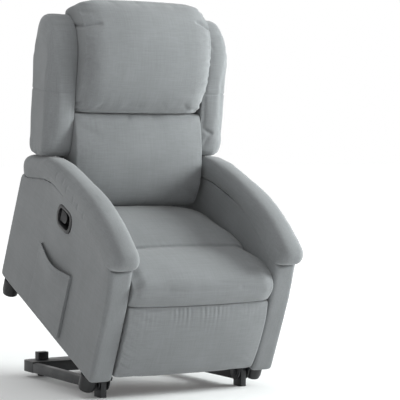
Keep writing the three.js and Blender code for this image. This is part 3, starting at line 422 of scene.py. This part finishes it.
# ---------------------------------------------------------------- materials
class Shader:
    """Builds a node material line by line."""

    def __init__(self, name):
        self.material = bpy.data.materials.new(name)
        self.material.use_nodes = True
        self.tree = self.material.node_tree
        self.shader = self.tree.nodes["Principled BSDF"]
        self.coordinates = self.node("ShaderNodeTexCoord").outputs["Object"]

    def node(self, kind, **inputs):
        made = self.tree.nodes.new(kind)
        for key, value in inputs.items():
            self.put(made.inputs[key.replace("_", " ")], value)
        return made

    def put(self, socket, value):
        if isinstance(value, bpy.types.NodeSocket):
            self.tree.links.new(value, socket)
        else:
            socket.default_value = value

    def set(self, **inputs):
        for key, value in inputs.items():
            self.put(self.shader.inputs[key.replace("_", " ")], value)

    def mapping(self, scale, angle=0.0, vector=None):
        made = self.node("ShaderNodeMapping", Vector=vector or self.coordinates)
        made.vector_type = "POINT"
        made.inputs["Rotation"].default_value = (angle, 0, 0)
        made.inputs["Scale"].default_value = scale
        return made.outputs["Vector"]

    def noise(self, vector, scale=1.0, detail=1.0, roughness=0.5):
        made = self.node("ShaderNodeTexNoise", Vector=vector, Scale=scale, Detail=detail)
        made.inputs["Roughness"].default_value = roughness
        return made.outputs["Fac"]

    def maths(self, operation, a, b):
        made = self.tree.nodes.new("ShaderNodeMath")
        made.operation = operation
        self.put(made.inputs[0], a)
        self.put(made.inputs[1], b)
        return made.outputs[0]

    def spread(self, value, low, high, to_low=0.0, to_high=1.0):
        made = self.node("ShaderNodeMapRange", Value=value)
        made.inputs["From Min"].default_value = low
        made.inputs["From Max"].default_value = high
        made.inputs["To Min"].default_value = to_low
        made.inputs["To Max"].default_value = to_high
        return made.outputs["Result"]

    def blend(self, factor, a, b):
        made = self.tree.nodes.new("ShaderNodeMix")
        made.data_type = "RGBA"
        self.put(made.inputs["Factor"], factor)
        self.put(made.inputs["A"], a)
        self.put(made.inputs["B"], b)
        return made.outputs["Result"]

    def bump(self, height, strength, distance):
        made = self.node("ShaderNodeBump", Height=height, Strength=strength, Distance=distance)
        return made.outputs["Normal"]

    def toned(self, colour, value):
        """The colour with its brightness multiplied by value."""
        made = self.node("ShaderNodeHueSaturation", Color=colour, Value=value)
        return made.outputs["Color"]

    def mixed(self, a, b, share):
        """A sum of two patterns, with this share of the first."""
        return self.maths(
            "ADD", self.maths("MULTIPLY", a, share), self.maths("MULTIPLY", b, 1 - share))


def rgba(colour):
    return (*colour, 1.0)


def cover_material(name, angle, facing):
    """Woven cover. angle turns the weave with the piece; facing is the axis the piece faces."""
    fabric = bpy.context.scene.recliner_fabric
    made = Shader(name)
    fine = 1 / fabric.yarn
    long = 1 / fabric.slub
    straight = made.mapping((1, 1, 1), -angle)
    if facing == "X":
        along, across = (fine, long, fine), (fine, fine, long)
    else:
        along, across = (long, fine, fine), (fine, long, long)

    def yarn(scale, share, fineness):
        vector = made.mapping(tuple(s * share for s in scale), 0, straight)
        return made.noise(vector, scale=fineness)

    weft, warp = yarn(along, 1, 0.55), yarn(across, 1, 0.55)
    slubs, drops = yarn(along, 0.22, 1.0), yarn(across, 0.18, 1.0)
    weave = made.mixed(weft, warp, share=0.5)
    streaks = made.mixed(slubs, drops, share=0.65)
    both = made.mixed(weave, streaks, share=0.65)
    cloudy = made.noise(straight, scale=7.0, detail=2.0)
    yarns = made.blend(made.spread(both, 0.38, 0.62), rgba(fabric.shade), rgba(fabric.colour))
    made.set(Base_Color=made.toned(yarns, made.spread(cloudy, 0.3, 0.7, 0.94, 1.05)))
    made.set(Roughness=0.93, Specular_IOR_Level=0.25, Sheen_Weight=0.25, Sheen_Roughness=0.5)
    made.set(Normal=made.bump(both, strength=0.35, distance=0.0008))
    return made.material


def coat_material(name, colour, roughness, grain):
    """Powder coat or moulded plastic: even colour, fine orange peel, uneven gloss."""
    made = Shader(name)
    peel = made.noise(made.coordinates, scale=900.0, detail=2.0)
    patches = made.noise(made.coordinates, scale=14.0, detail=3.0)
    made.set(Base_Color=made.toned(rgba(colour), made.spread(patches, 0.3, 0.7, 0.85, 1.2)))
    made.set(Roughness=made.spread(patches, 0.3, 0.7, roughness - 0.07, roughness + 0.09))
    made.set(Normal=made.bump(peel, strength=grain, distance=0.0006))
    return made.material


def metal_material(name, colour, roughness):
    """Plated or drawn metal, with fine streaks."""
    made = Shader(name)
    streaks = made.noise(made.mapping((30, 700, 700)), detail=3.0)
    blotches = made.noise(made.coordinates, scale=30.0, detail=3.0)
    tone = made.toned(rgba(colour), made.spread(blotches, 0.3, 0.7, 0.88, 1.08))
    made.set(Base_Color=tone, Metallic=1.0)
    made.set(Roughness=made.spread(streaks, 0.3, 0.7, roughness - 0.08, roughness + 0.1))
    made.set(Normal=made.bump(streaks, strength=0.08, distance=0.0004))
    return made.material


def timber_material(name):
    """Planed softwood."""
    made = Shader(name)
    grain = made.noise(made.mapping((6, 90, 90), -TILT), detail=4.0, roughness=0.6)
    pores = made.noise(made.mapping((20, 700, 700), -TILT), detail=2.0)
    late_wood, early_wood = (0.36, 0.22, 0.11), (0.6, 0.42, 0.24)
    colour = made.blend(made.spread(grain, 0.3, 0.7), rgba(late_wood), rgba(early_wood))
    made.set(Base_Color=colour, Roughness=0.75)
    made.set(Normal=made.bump(pores, strength=0.15, distance=0.0005))
    return made.material


MATERIALS = {}


def make_materials():
    metal = bpy.context.scene.recliner_metal
    MATERIALS["seat_cover"] = cover_material("seat_cover", TILT, "Y")
    MATERIALS["back_cover"] = cover_material("back_cover", TILT - LEAN, "Y")
    MATERIALS["side_cover"] = cover_material("side_cover", TILT, "X")
    MATERIALS["powder_coat"] = coat_material("powder_coat", metal.coat, 0.42, 0.12)
    MATERIALS["moulding"] = coat_material("moulding", (0.012, 0.0125, 0.0135), 0.36, 0.06)
    MATERIALS["housing"] = coat_material("housing", (0.02, 0.021, 0.022), 0.5, 0.25)
    MATERIALS["rubber"] = coat_material("rubber", (0.013, 0.013, 0.013), 0.75, 0.2)
    MATERIALS["aluminium"] = metal_material("aluminium", (0.62, 0.63, 0.65), 0.32)
    MATERIALS["zinc"] = metal_material("zinc", (0.5, 0.51, 0.53), 0.34)
    MATERIALS["black_zinc"] = metal_material("black_zinc", (0.075, 0.077, 0.082), 0.4)
    MATERIALS["timber"] = timber_material("timber")
    slots = {
        "upholstery": "seat_cover", "frame_steel": "powder_coat", "black_plastic": "moulding",
        "aluminium": "aluminium", "zinc_steel": "zinc", "timber": "timber", "rubber": "rubber",
    }
    for name, slot in SLOTS.items():
        node = frame["nodes"][name]
        node.data.materials.clear()
        node.data.materials.append(MATERIALS[slots[slot]])
    frame["nodes"]["actuator_housing"].data.materials[0] = MATERIALS["housing"]
    for word, _ in SIDES:
        frame["nodes"][f"lift_pin_{word}"].data.materials[0] = MATERIALS["black_zinc"]


# ---------------------------------------------------------------- upholstery
BACK_HALF = 0.2488  # half width of the cushions between the wings
WING_INNER = 0.2495  # face of a wing towards those cushions, from the middle
SEAM_GAP = 0.0006  # each cushion's distance from the seam between head and lower back


class RECLINER_OT_head_cushion(Operator):
    """Head cushion: overfilled, with a pleat at its upper corners and gathered sides"""

    bl_idname = "recliner.head_cushion"
    bl_label = "Head cushion"

    def execute(self, context):
        half = BACK_HALF
        corner_radius = 0.055
        top = 0.7

        def full(co):
            return 0.75 + 0.25 * ramp(co[:, 2], 0.45, 0.6)

        def front(co):
            return ramp(-co[:, 1], 0.11, 0.17)

        def pins(co):
            rear = ramp(co[:, 1], -0.1, -0.08)
            seam = ramp(SPLIT - co[:, 2], -0.012, -0.002)
            return np.maximum.reduce([rear, seam, at_sides(co, half)])

        piece = stuffed(
            "head_cushion", "head_pillow", BACK, pins,
            (*both_sides(half, 0.06, full), wall("z", SPLIT + SEAM_GAP, 0.08),
             wall("z", top, 0.05, front)))
        square_ends(piece, half, SPLIT, corner_radius, amount=1.0)
        right_pleat = [(-0.275, 0.598), (-0.24, 0.607), (-0.21, 0.614), (-0.178, 0.616)]
        left_pleat = [(0.184, 0.637), (0.212, 0.629), (0.25, 0.608)]
        carve(
            piece,
            gathers(z_of, inside(half),
                    pitch=0.03, height=0.0022, length=0.018, seed=3, mask=front),
            tuck(right_pleat, width=0.006, depth=0.0065, fade=0.026, mask=front),
            tuck(left_pleat, width=0.006, depth=0.0065, fade=0.014, mask=front),
            gathers(x_of, below(SPLIT), pitch=0.06, height=0.0008, length=0.02, seed=8, mask=front),
        )
        settle(piece, BACK, "backrest", "back_cover", "head_cushion")
        return {"FINISHED"}


class RECLINER_OT_lower_back(Operator):
    """Lower back cushion: a tall pad that runs from the seat to the head cushion"""

    bl_idname = "recliner.lower_back"
    bl_label = "Lower back cushion"

    def execute(self, context):
        half = BACK_HALF
        foot, rear = -0.0175, -0.0853
        corner_radius = 0.02

        def front(co):
            return ramp(-co[:, 1], 0.12, 0.16)

        def pins(co):
            return np.maximum(ramp(co[:, 1], -0.11, -0.09), at_sides(co, half))

        piece = stuffed(
            "back_lower_cushion", "lower_back_pad", BACK, pins,
            (*both_sides(half, 0.06), wall("z", SPLIT - SEAM_GAP, 0.06), wall("z", foot, 0.055),
             wall("y", rear, 0.012)))
        square_ends(piece, half, SPLIT, corner_radius, amount=0.9)
        carve(
            piece,
            gathers(x_of, below(SPLIT), pitch=0.07, height=0.0012, length=0.03, seed=5, mask=front),
            gathers(z_of, inside(half), pitch=0.05, height=0.001, length=0.02, seed=6, mask=front),
        )
        settle(piece, BACK, "backrest", "back_cover", "back_lower_cushion")
        return {"FINISHED"}


class RECLINER_OT_seat(Operator):
    """Seat cushion: one cover with a sewn crease behind its front roll"""

    bl_idname = "recliner.seat"
    bl_label = "Seat cushion"

    def execute(self, context):
        half = 0.2675
        underside = 0.2754
        crease_y = -0.166
        crown_height, edge_drop = 0.009, 0.012

        def on_top(co):
            return ramp(co[:, 2], 0.33, 0.36)

        def from_crease(co):
            return co[:, 1] - crease_y

        def crown(co):
            return crown_height * on_top(co) * ramp(half - np.abs(co[:, 0]), 0, 0.05)

        def beside_arms(co):
            return (-edge_drop * on_top(co) * ramp(np.abs(co[:, 0]), half - 0.11, half - 0.02)
                    * np.exp(-((co[:, 1] - 0.03) / 0.1) ** 2))

        def shoulders(co):
            return ramp(-co[:, 1], 0.2, 0.27) * (1 - ramp(-co[:, 1], 0.34, 0.38))

        def pins(co):
            low = ramp(-co[:, 2], -0.292, -0.279)
            sewn = np.exp(-(from_crease(co) / 0.009) ** 2) * (co[:, 2] > 0.34)
            return np.maximum.reduce([low, at_sides(co, half), sewn])

        piece = stuffed(
            "seat_cushion", "seat_pad", CHAIR, pins,
            (*both_sides(half, 0.03), *both_sides(half, 0.08, shoulders),
             wall("z", underside, 0.05)))
        carve(
            piece,
            crown,
            beside_arms,
            crease(from_crease, width=0.0045, depth=0.005, mask=on_top),
            gathers(x_of, from_crease,
                    pitch=0.05, height=0.0008, length=0.018, seed=2, mask=on_top),
            gathers(y_of, inside(half), pitch=0.06, height=0.001, length=0.02, seed=4, mask=on_top),
        )
        settle(piece, CHAIR, "chair", "seat_cover", "seat_cushion")
        return {"FINISHED"}


class RECLINER_OT_footrest(Operator):
    """Footrest pad: its cover is gathered below the top seam and wraps the board behind it"""

    bl_idname = "recliner.footrest"
    bl_label = "Footrest pad"

    def execute(self, context):
        half = 0.2655
        rear = -0.3453
        low, high = 0.001, 0.275

        def front(co):
            return ramp(-co[:, 1], 0.362, 0.385)

        def tied(co):
            return (0.3 + 0.7 * np.exp(-((co[:, 0] + 0.008) / 0.1) ** 2)) * front(co)

        def lower_front(co):
            return front(co) * ramp(0.2 - co[:, 2], 0, 0.08)

        def slanting(co):
            return co[:, 2] + 0.6 * co[:, 0]

        def pins(co):
            behind = ramp(co[:, 1], rear - 0.016, rear - 0.006)
            return np.maximum(behind, at_sides(co, half, 0.012, 0.004))

        piece = stuffed(
            "footrest_cushion", "footrest_pad", CHAIR, pins,
            (*both_sides(half, 0.022), wall("z", high, 0.032), wall("z", low, 0.04, front)),
            cap=0.012, voxel=0.0055)
        carve(
            piece,
            gathers(x_of, below(0.272), pitch=0.017, height=0.001, length=0.03, seed=1, mask=tied),
            gathers(slanting, lambda co: half + co[:, 0],
                    pitch=0.024, height=0.0022, length=0.022, seed=7, mask=lower_front),
            gathers(z_of, lambda co: half - co[:, 0],
                    pitch=0.05, height=0.001, length=0.02, seed=9, mask=front),
        )
        settle(piece, CHAIR, "footrest", "seat_cover", "footrest_cushion")
        return {"FINISHED"}


class RECLINER_OT_wings(Operator):
    """The side wings of the back, each with a cross seam, the left one with a tuck at its foot"""

    bl_idname = "recliner.wings"
    bl_label = "Back wings"

    def execute(self, context):
        outer, rear, foot = 0.3548, -0.0395, 0.159
        left_tuck = [(0.262, 0.262), (0.283, 0.249), (0.308, 0.24)]

        def flat(co):
            return ramp(-np.abs(co[:, 0]), -WING_INNER - 0.012, -WING_INNER - 0.003)

        def low(co):
            return 1 - ramp(co[:, 2], 0.48, 0.62)

        def outward(co):
            return ramp(np.abs(co[:, 0]), WING_INNER + 0.004, WING_INNER + 0.02)

        def front(co):
            return ramp(-co[:, 1], 0.13, 0.16)

        def from_seam(co):
            return co[:, 2] - 0.386 - 0.05 * (co[:, 1] + 0.12)

        for word, side in SIDES:
            piece = stuffed(
                f"back_wing_{word}", f"wing_pad_{word}", BACK, flat,
                (wall("x", side * WING_INNER, 0.01), wall("x", side * outer, 0.03, low),
                 wall("y", rear, 0.035), wall("z", foot, 0.05)),
                inset=0.003, cap=0.005, voxel=0.006)
            carve(
                piece,
                crease(from_seam, width=0.003, depth=0.0024, mask=outward),
                tuck(left_tuck, width=0.007, depth=0.005, fade=0.018, mask=front),
                gathers(y_of, below(0.17),
                        pitch=0.035, height=0.0012, length=0.025, seed=11 + side, mask=outward),
                gathers(z_of, inside(WING_INNER),
                        pitch=0.04, height=0.0008, length=0.012, seed=14 + side),
            )
            settle(piece, BACK, "backrest", "back_cover", f"back_wing_{word}")
        return {"FINISHED"}


ARM_MIDDLE = 0.3115  # of an arm, from the middle of the chair
PAD_LINE = np.array([  # y and z of the middle of an arm roll
    (-0.352, 0.438), (-0.262, 0.478), (-0.13, 0.51), (0.02, 0.512), (0.18, 0.501), (0.332, 0.443)])
PAD_HALF = np.array([0.046, 0.041, 0.039, 0.04, 0.043, 0.046])  # its half height there


def pad_height(co):
    """Height of each point above the middle of the arm roll."""
    return co[:, 2] - np.interp(co[:, 1], PAD_LINE[:, 0], PAD_LINE[:, 1])


def pad_half(co):
    return np.interp(co[:, 1], PAD_LINE[:, 0], PAD_HALF)


def tied_down(co, side):
    """1 along the stretches of an arm where its cover runs from the roll down over the faces."""
    outside = co[:, 0] * side > ARM_MIDDLE
    end = np.where(outside, 0.17, 0.03)
    return (1 - ramp(co[:, 1], end - 0.18, end)) * ramp(co[:, 1], -0.37, -0.31)


class RECLINER_OT_arm_pads(Operator):
    """The stuffed rolls on top of the arms"""

    bl_idname = "recliner.arm_pads"
    bl_label = "Arm pads"

    puckers = (  # y, z and bend of each small crease on a roll's outer flank
        (0.1, 0.518, 0.004), (0.055, 0.52, -0.005), (0.012, 0.512, 0.005),
        (-0.04, 0.5, -0.005), (-0.085, 0.492, 0.006), (-0.132, 0.482, 0.005))

    @staticmethod
    def draw_down(co, side):
        """Runs the lower half of the roll down into the arm's faces."""
        low = ramp(-pad_height(co) / pad_half(co), -0.2, 0.35)
        middle = side * ARM_MIDDLE
        across = co[:, 0] - middle
        out = ramp(np.abs(across), 0.0185, 0.0385) * low * tied_down(co, side)
        face = 0.051
        co[:, 0] += out * (middle + np.sign(across) * face - co[:, 0])

    @staticmethod
    def turn_under(co):
        """Turns the lower edge of the nose under."""
        height, pull = 0.045, 0.03
        nose = co[:, 1].min()
        foot = co[co[:, 1] < nose + 0.02, 2].min() - 0.006
        near = 1 - ramp(co[:, 1], nose + 0.02, nose + 0.06)
        under = np.clip((foot + height - co[:, 2]) / height, 0, 1) * near
        co[:, 1] += pull * (1 - np.sqrt(1 - under ** 2))

    def execute(self, context):
        def under(co):
            return ramp(-pad_height(co) / pad_half(co), 0.3, 0.7) * ramp(co[:, 1], -0.36, -0.34)

        def upper(co):
            return ramp(pad_height(co), -0.03, 0.01)

        for word, side in SIDES:

            def flank(co):
                return (co[:, 0] * side > 0.335).astype(float)

            piece = stuffed(
                f"arm_pad_{word}", f"arm_roll_{word}", CHAIR, under,
                inset=0.003, cap=0.008, voxel=0.006)
            co = points(piece)
            self.draw_down(co, side)
            self.turn_under(co)
            set_points(piece, co)
            creases = [
                tuck([(y, z + 0.014), (y + bend, z), (y - 0.003, z - 0.014)],
                     width=0.0045, depth=0.0022, fade=0.012, axes=(1, 2), mask=flank)
                for y, z, bend in self.puckers]
            folds = gathers(y_of, inside(0.36),
                            pitch=0.05, height=0.0007, length=0.02, seed=20 + side, mask=upper)
            carve(piece, *creases, folds)
            settle(piece, CHAIR, "chair", "side_cover", f"arm_pad_{word}")
        return {"FINISHED"}


class RECLINER_OT_arms(Operator):
    """The upholstered arm bodies under the rolls, with a seam down the front of each outer face"""

    bl_idname = "recliner.arms"
    bl_label = "Arm bodies"

    def execute(self, context):
        seam_y = -0.372
        bulge = 0.0105  # of the cover where it leaves the roll

        def outer_face(co):
            return ramp(np.abs(co[:, 0]), 0.345, 0.3505)

        for word, side in SIDES:

            def flare(co):
                below_roll = np.maximum(-0.75 * pad_half(co) - pad_height(co), 0)
                face = ramp(np.abs(co[:, 0] - side * ARM_MIDDLE), 0.034, 0.0385)
                return bulge * np.exp(-below_roll / 0.045) * face * tied_down(co, side)

            piece = stretched(
                f"arm_body_{word}", f"arm_cover_{word}", CHAIR, voxel=0.0072, passes=3)
            seam = crease(lambda co: co[:, 1] - seam_y, width=0.0028, depth=0.0022, mask=outer_face)
            carve(piece, flare, seam)
            settle(piece, CHAIR, "chair", "side_cover", f"arm_body_{word}")
        return {"FINISHED"}


class RECLINER_OT_pocket(Operator):
    """The magazine pocket on the right arm, with a turned hem along its sagging mouth"""

    bl_idname = "recliner.pocket"
    bl_label = "Side pocket"

    def execute(self, context):
        mouth_z, sag, hem_drop = 0.262, 0.02, 0.012
        gape, hem_depth = 0.0085, 0.0007

        def arch(co, start, length):
            return np.sin(np.clip((co[:, 1] - start) / length, 0, 1) * math.pi)

        piece = stretched(
            "side_pocket", "pocket_sheet", CHAIR, voxel=0.0018, passes=3, divide=False)
        co = points(piece)
        mouth = mouth_z - sag * arch(co, -0.126, 0.242)
        open_by = ramp(co[:, 2], mouth - 0.12, mouth) * arch(co, -0.12, 0.23)
        outside = ramp(-co[:, 0], 0.3555, 0.3595)
        hem = np.exp(-((co[:, 2] - mouth + hem_drop) / 0.0022) ** 2) * outside
        co[:, 0] -= outside * (gape * open_by ** 1.3 - hem_depth * hem)
        set_points(piece, co)
        settle(piece, CHAIR, "chair", "side_cover", "side_pocket")
        return {"FINISHED"}


class RECLINER_OT_rear_covers(Operator):
    """Cover of the back and the body panel below it"""

    bl_idname = "recliner.rear_covers"
    bl_label = "Rear covers"

    @staticmethod
    def border(piece):
        """A line of stitches a little inside the edge of the panel."""
        margin = 0.016
        low, high = points(piece).min(axis=0), points(piece).max(axis=0)

        def from_stitches(co):
            seen = co[:, (0, 2)]
            edges = np.concatenate([seen - low[[0, 2]], high[[0, 2]] - seen], axis=1)
            return edges.min(axis=1) - margin

        def rearward(co):
            return ramp(co[:, 1], low[1], high[1])

        return crease(from_stitches, width=0.0022, depth=0.0014, mask=rearward)

    def execute(self, context):
        for node, name, home, body, cover in (
            ("back_cover", "back_panel_cover", BACK, "backrest", "back_cover"),
            ("rear_panel", "rear_panel_cover", CHAIR, "chair", "seat_cover"),
        ):
            piece = stretched(node, name, home, voxel=0.0058, passes=4)
            carve(piece, self.border(piece))
            settle(piece, home, body, cover, node)
        return {"FINISHED"}


# ---------------------------------------------------------------- rigid pieces
def body_of(node):
    parent = frame["nodes"][node].parent
    return next(name for name, empty in frame["bodies"].items() if empty == parent)


def refined(node, width=None, material=None):
    """A rigid CAD node with rounded edges and smooth round faces, in its own material unless
    another is given."""
    piece = copy_of(node, f"{node}_finished")
    apply(piece, "BEVEL", width=width or bpy.context.scene.recliner_metal.edge, segments=2,
          limit_method="ANGLE", angle_limit=math.radians(40), use_clamp_overlap=True)
    select_only(piece)
    bpy.ops.object.shade_smooth_by_angle(angle=math.radians(38))
    own = frame["nodes"][node].data.materials[0]
    finish_piece(piece, body_of(node), material or own, node)


class RECLINER_OT_back_frame(Operator):
    """The frame of the back, wrapped in cover; it shows below the wings when the back reclines"""

    bl_idname = "recliner.back_frame"
    bl_label = "Back frame"

    def execute(self, context):
        for node in ("back_stile_right", "back_stile_left", "back_rail_top", "back_rail_bottom"):
            refined(node, 0.003, MATERIALS["back_cover"])
        return {"FINISHED"}


class RECLINER_OT_lift_base(Operator):
    """The steel lift base that stands on the floor, with its glides and hinge pins"""

    bl_idname = "recliner.lift_base"
    bl_label = "Lift base"

    def execute(self, context):
        for node in ("base_side_right", "base_side_left", "base_rear_crossmember"):
            refined(node)
        for node in ("lift_pin_right", "lift_pin_left", "base_glide_right", "base_glide_left"):
            refined(node, 0.0006)
        return {"FINISHED"}


class RECLINER_OT_underframe(Operator):
    """The steel channels and tubes under the seat"""

    bl_idname = "recliner.underframe"
    bl_label = "Underframe"

    def execute(self, context):
        for node in ("underframe_channel_right", "underframe_channel_left", "underframe_rear_tube",
                     "underframe_front_tube", "actuator_cross_tube"):
            refined(node, 0.0006)
        return {"FINISHED"}


class RECLINER_OT_mechanism(Operator):
    """The side plates, the footrest links and the brackets"""

    bl_idname = "recliner.mechanism"
    bl_label = "Footrest mechanism"

    def execute(self, context):
        for word, _ in SIDES:
            for node in ("mechanism_plate", "footrest_rear_link", "footrest_rear_control",
                         "footrest_front_link", "footrest_front_control", "footrest_bracket"):
                refined(f"{node}_{word}", 0.0004)
        return {"FINISHED"}


class RECLINER_OT_actuator(Operator):
    """The lift actuator: gear housing, motor, tube, rod and its two pins"""

    bl_idname = "recliner.actuator"
    bl_label = "Actuator"

    def execute(self, context):
        for node, width in (
            ("actuator_housing", 0.0014), ("actuator_motor", 0.0006), ("actuator_tube", 0.0004),
            ("actuator_rod", 0.0003), ("rod_end_pin", 0.0004), ("actuator_base_pin", 0.0004),
        ):
            refined(node, width)
        return {"FINISHED"}


class RECLINER_OT_feet(Operator):
    """The four round feet"""

    bl_idname = "recliner.feet"
    bl_label = "Feet"

    def execute(self, context):
        for node in ("front_foot_right", "front_foot_left", "rear_foot_right", "rear_foot_left"):
            refined(node, 0.0015)
        return {"FINISHED"}


class RECLINER_OT_handle(Operator):
    """Release handle: the moulded cup and the lever in it"""

    bl_idname = "recliner.handle"
    bl_label = "Release handle"

    def execute(self, context):
        for node in ("handle_bezel", "release_lever"):
            refined(node, 0.0008)
        return {"FINISHED"}


# ---------------------------------------------------------------- stage
BACKDROP = (0.517, 0.856, 0)  # direction of the backdrop, behind the chair
LIGHTS = (  # name, place, diameter, watts
    ("key_light", (4.5, -1.7, 2.2), 2.6, 430),
    ("top_light", (-1.0, 0.2, 4.4), 2.4, 34),
)
LIT_POINT = Vector((0, 0, 0.6))


def studio_world():
    """Soft white light all round, brightest at the backdrop behind the chair."""
    world = bpy.data.worlds.new("studio")
    world.use_nodes = True
    tree = world.node_tree
    background = tree.nodes["Background"]
    background.inputs["Color"].default_value = (1, 1, 1, 1)
    direction = tree.nodes.new("ShaderNodeTexCoord").outputs["Generated"]
    facing = tree.nodes.new("ShaderNodeVectorMath")
    facing.operation = "DOT_PRODUCT"
    facing.inputs[1].default_value = BACKDROP
    tree.links.new(direction, facing.inputs[0])
    spread = tree.nodes.new("ShaderNodeMapRange")
    spread.interpolation_type = "SMOOTHSTEP"
    limits = {"From Min": 0.75, "From Max": 0.95, "To Min": 0.55, "To Max": 1.0}
    for socket, value in limits.items():
        spread.inputs[socket].default_value = value
    tree.links.new(facing.outputs["Value"], spread.inputs["Value"])
    tree.links.new(spread.outputs["Result"], background.inputs["Strength"])
    return world


class RECLINER_OT_stage(Operator):
    """Pale floor that glows as painted light, faintly near the chair and brightly far off; soft
    studio light and the camera
    """

    bl_idname = "recliner.stage"
    bl_label = "Stage"

    def execute(self, context):
        scene = context.scene
        stage = scene.recliner_stage
        bpy.ops.mesh.primitive_plane_add(size=80, location=(0, 0, 0))
        floor = context.object
        floor.name = "studio_floor"
        glow_floor = Shader("studio_floor_glowing")
        glow_floor.set(Base_Color=(0.82, 0.82, 0.82, 1), Roughness=0.9, Specular_IOR_Level=0.0)
        reach = glow_floor.node("ShaderNodeVectorMath", Vector=glow_floor.coordinates)
        reach.operation = "LENGTH"
        # Painted light: the floor glows though it is no lamp. The glow is faint near the chair and
        # bright from about 4 m out, so the far floor reads white and the floor round the chair
        # stays darker.
        glow_floor.set(Emission_Color=(1, 1, 1, 1))
        glow_floor.set(Emission_Strength=glow_floor.spread(reach.outputs["Value"], 0.9, 4.0, 0.05, 0.56))
        floor.data.materials.append(glow_floor.material)
        scene.world = studio_world()
        for name, place, size, power in LIGHTS:
            light = bpy.data.lights.new(name, "AREA")
            light.shape = "DISK"
            light.size = size
            light.energy = power
            light.color = (0.95, 1.0, 0.995)
            lamp = bpy.data.objects.new(name, light)
            lamp.location = place
            towards = LIT_POINT - Vector(place)
            lamp.rotation_euler = towards.to_track_quat("-Z", "Y").to_euler()
            scene.collection.objects.link(lamp)
        scene.view_settings.view_transform = "Standard"
        direction = Vector((math.sin(stage.azimuth) * math.cos(stage.elevation),
                            -math.cos(stage.azimuth) * math.cos(stage.elevation),
                            math.sin(stage.elevation)))
        camera = bpy.data.objects.new("camera", bpy.data.cameras.new("camera"))
        camera.location = Vector(stage.aim) + direction * stage.distance
        camera.rotation_mode = "QUATERNION"
        level = (-direction).to_track_quat("-Z", "Y")
        camera.rotation_quaternion = level @ Matrix.Rotation(stage.roll, 4, "Z").to_quaternion()
        camera.data.lens = stage.lens
        camera.data.sensor_width = 36
        scene.collection.objects.link(camera)
        scene.camera = camera
        return {"FINISHED"}


class RECLINER_PT_panel(Panel):
    """Lists the steps that make the chair."""

    bl_label = "Lift recliner"
    bl_idname = "RECLINER_PT_panel"
    bl_space_type = "VIEW_3D"
    bl_region_type = "UI"
    bl_category = "Recliner"

    def draw(self, context):
        for step in STEPS:
            self.layout.operator(step.bl_idname)


STEPS = (
    RECLINER_OT_head_cushion, RECLINER_OT_lower_back, RECLINER_OT_seat, RECLINER_OT_footrest,
    RECLINER_OT_wings, RECLINER_OT_arm_pads, RECLINER_OT_arms, RECLINER_OT_pocket,
    RECLINER_OT_rear_covers, RECLINER_OT_back_frame, RECLINER_OT_lift_base,
    RECLINER_OT_underframe, RECLINER_OT_mechanism, RECLINER_OT_actuator, RECLINER_OT_feet,
    RECLINER_OT_handle, RECLINER_OT_stage,
)
GROUPS = (
    ("recliner_fabric", FabricSettings), ("recliner_stuffing", StuffingSettings),
    ("recliner_metal", MetalSettings), ("recliner_stage", StageSettings),
)


def register():
    for name, group in GROUPS:
        bpy.utils.register_class(group)
        setattr(bpy.types.Scene, name, PointerProperty(type=group))
    for step in STEPS:
        bpy.utils.register_class(step)
    bpy.utils.register_class(RECLINER_PT_panel)


def unregister():
    bpy.utils.unregister_class(RECLINER_PT_panel)
    for step in reversed(STEPS):
        bpy.utils.unregister_class(step)
    for name, group in reversed(GROUPS):
        delattr(bpy.types.Scene, name)
        bpy.utils.unregister_class(group)


def main():
    register()
    make_materials()
    for step in STEPS:
        area, name = step.bl_idname.split(".")
        getattr(getattr(bpy.ops, area), name)()
    bpy.context.view_layer.update()


if __name__ == "__main__":
    main()
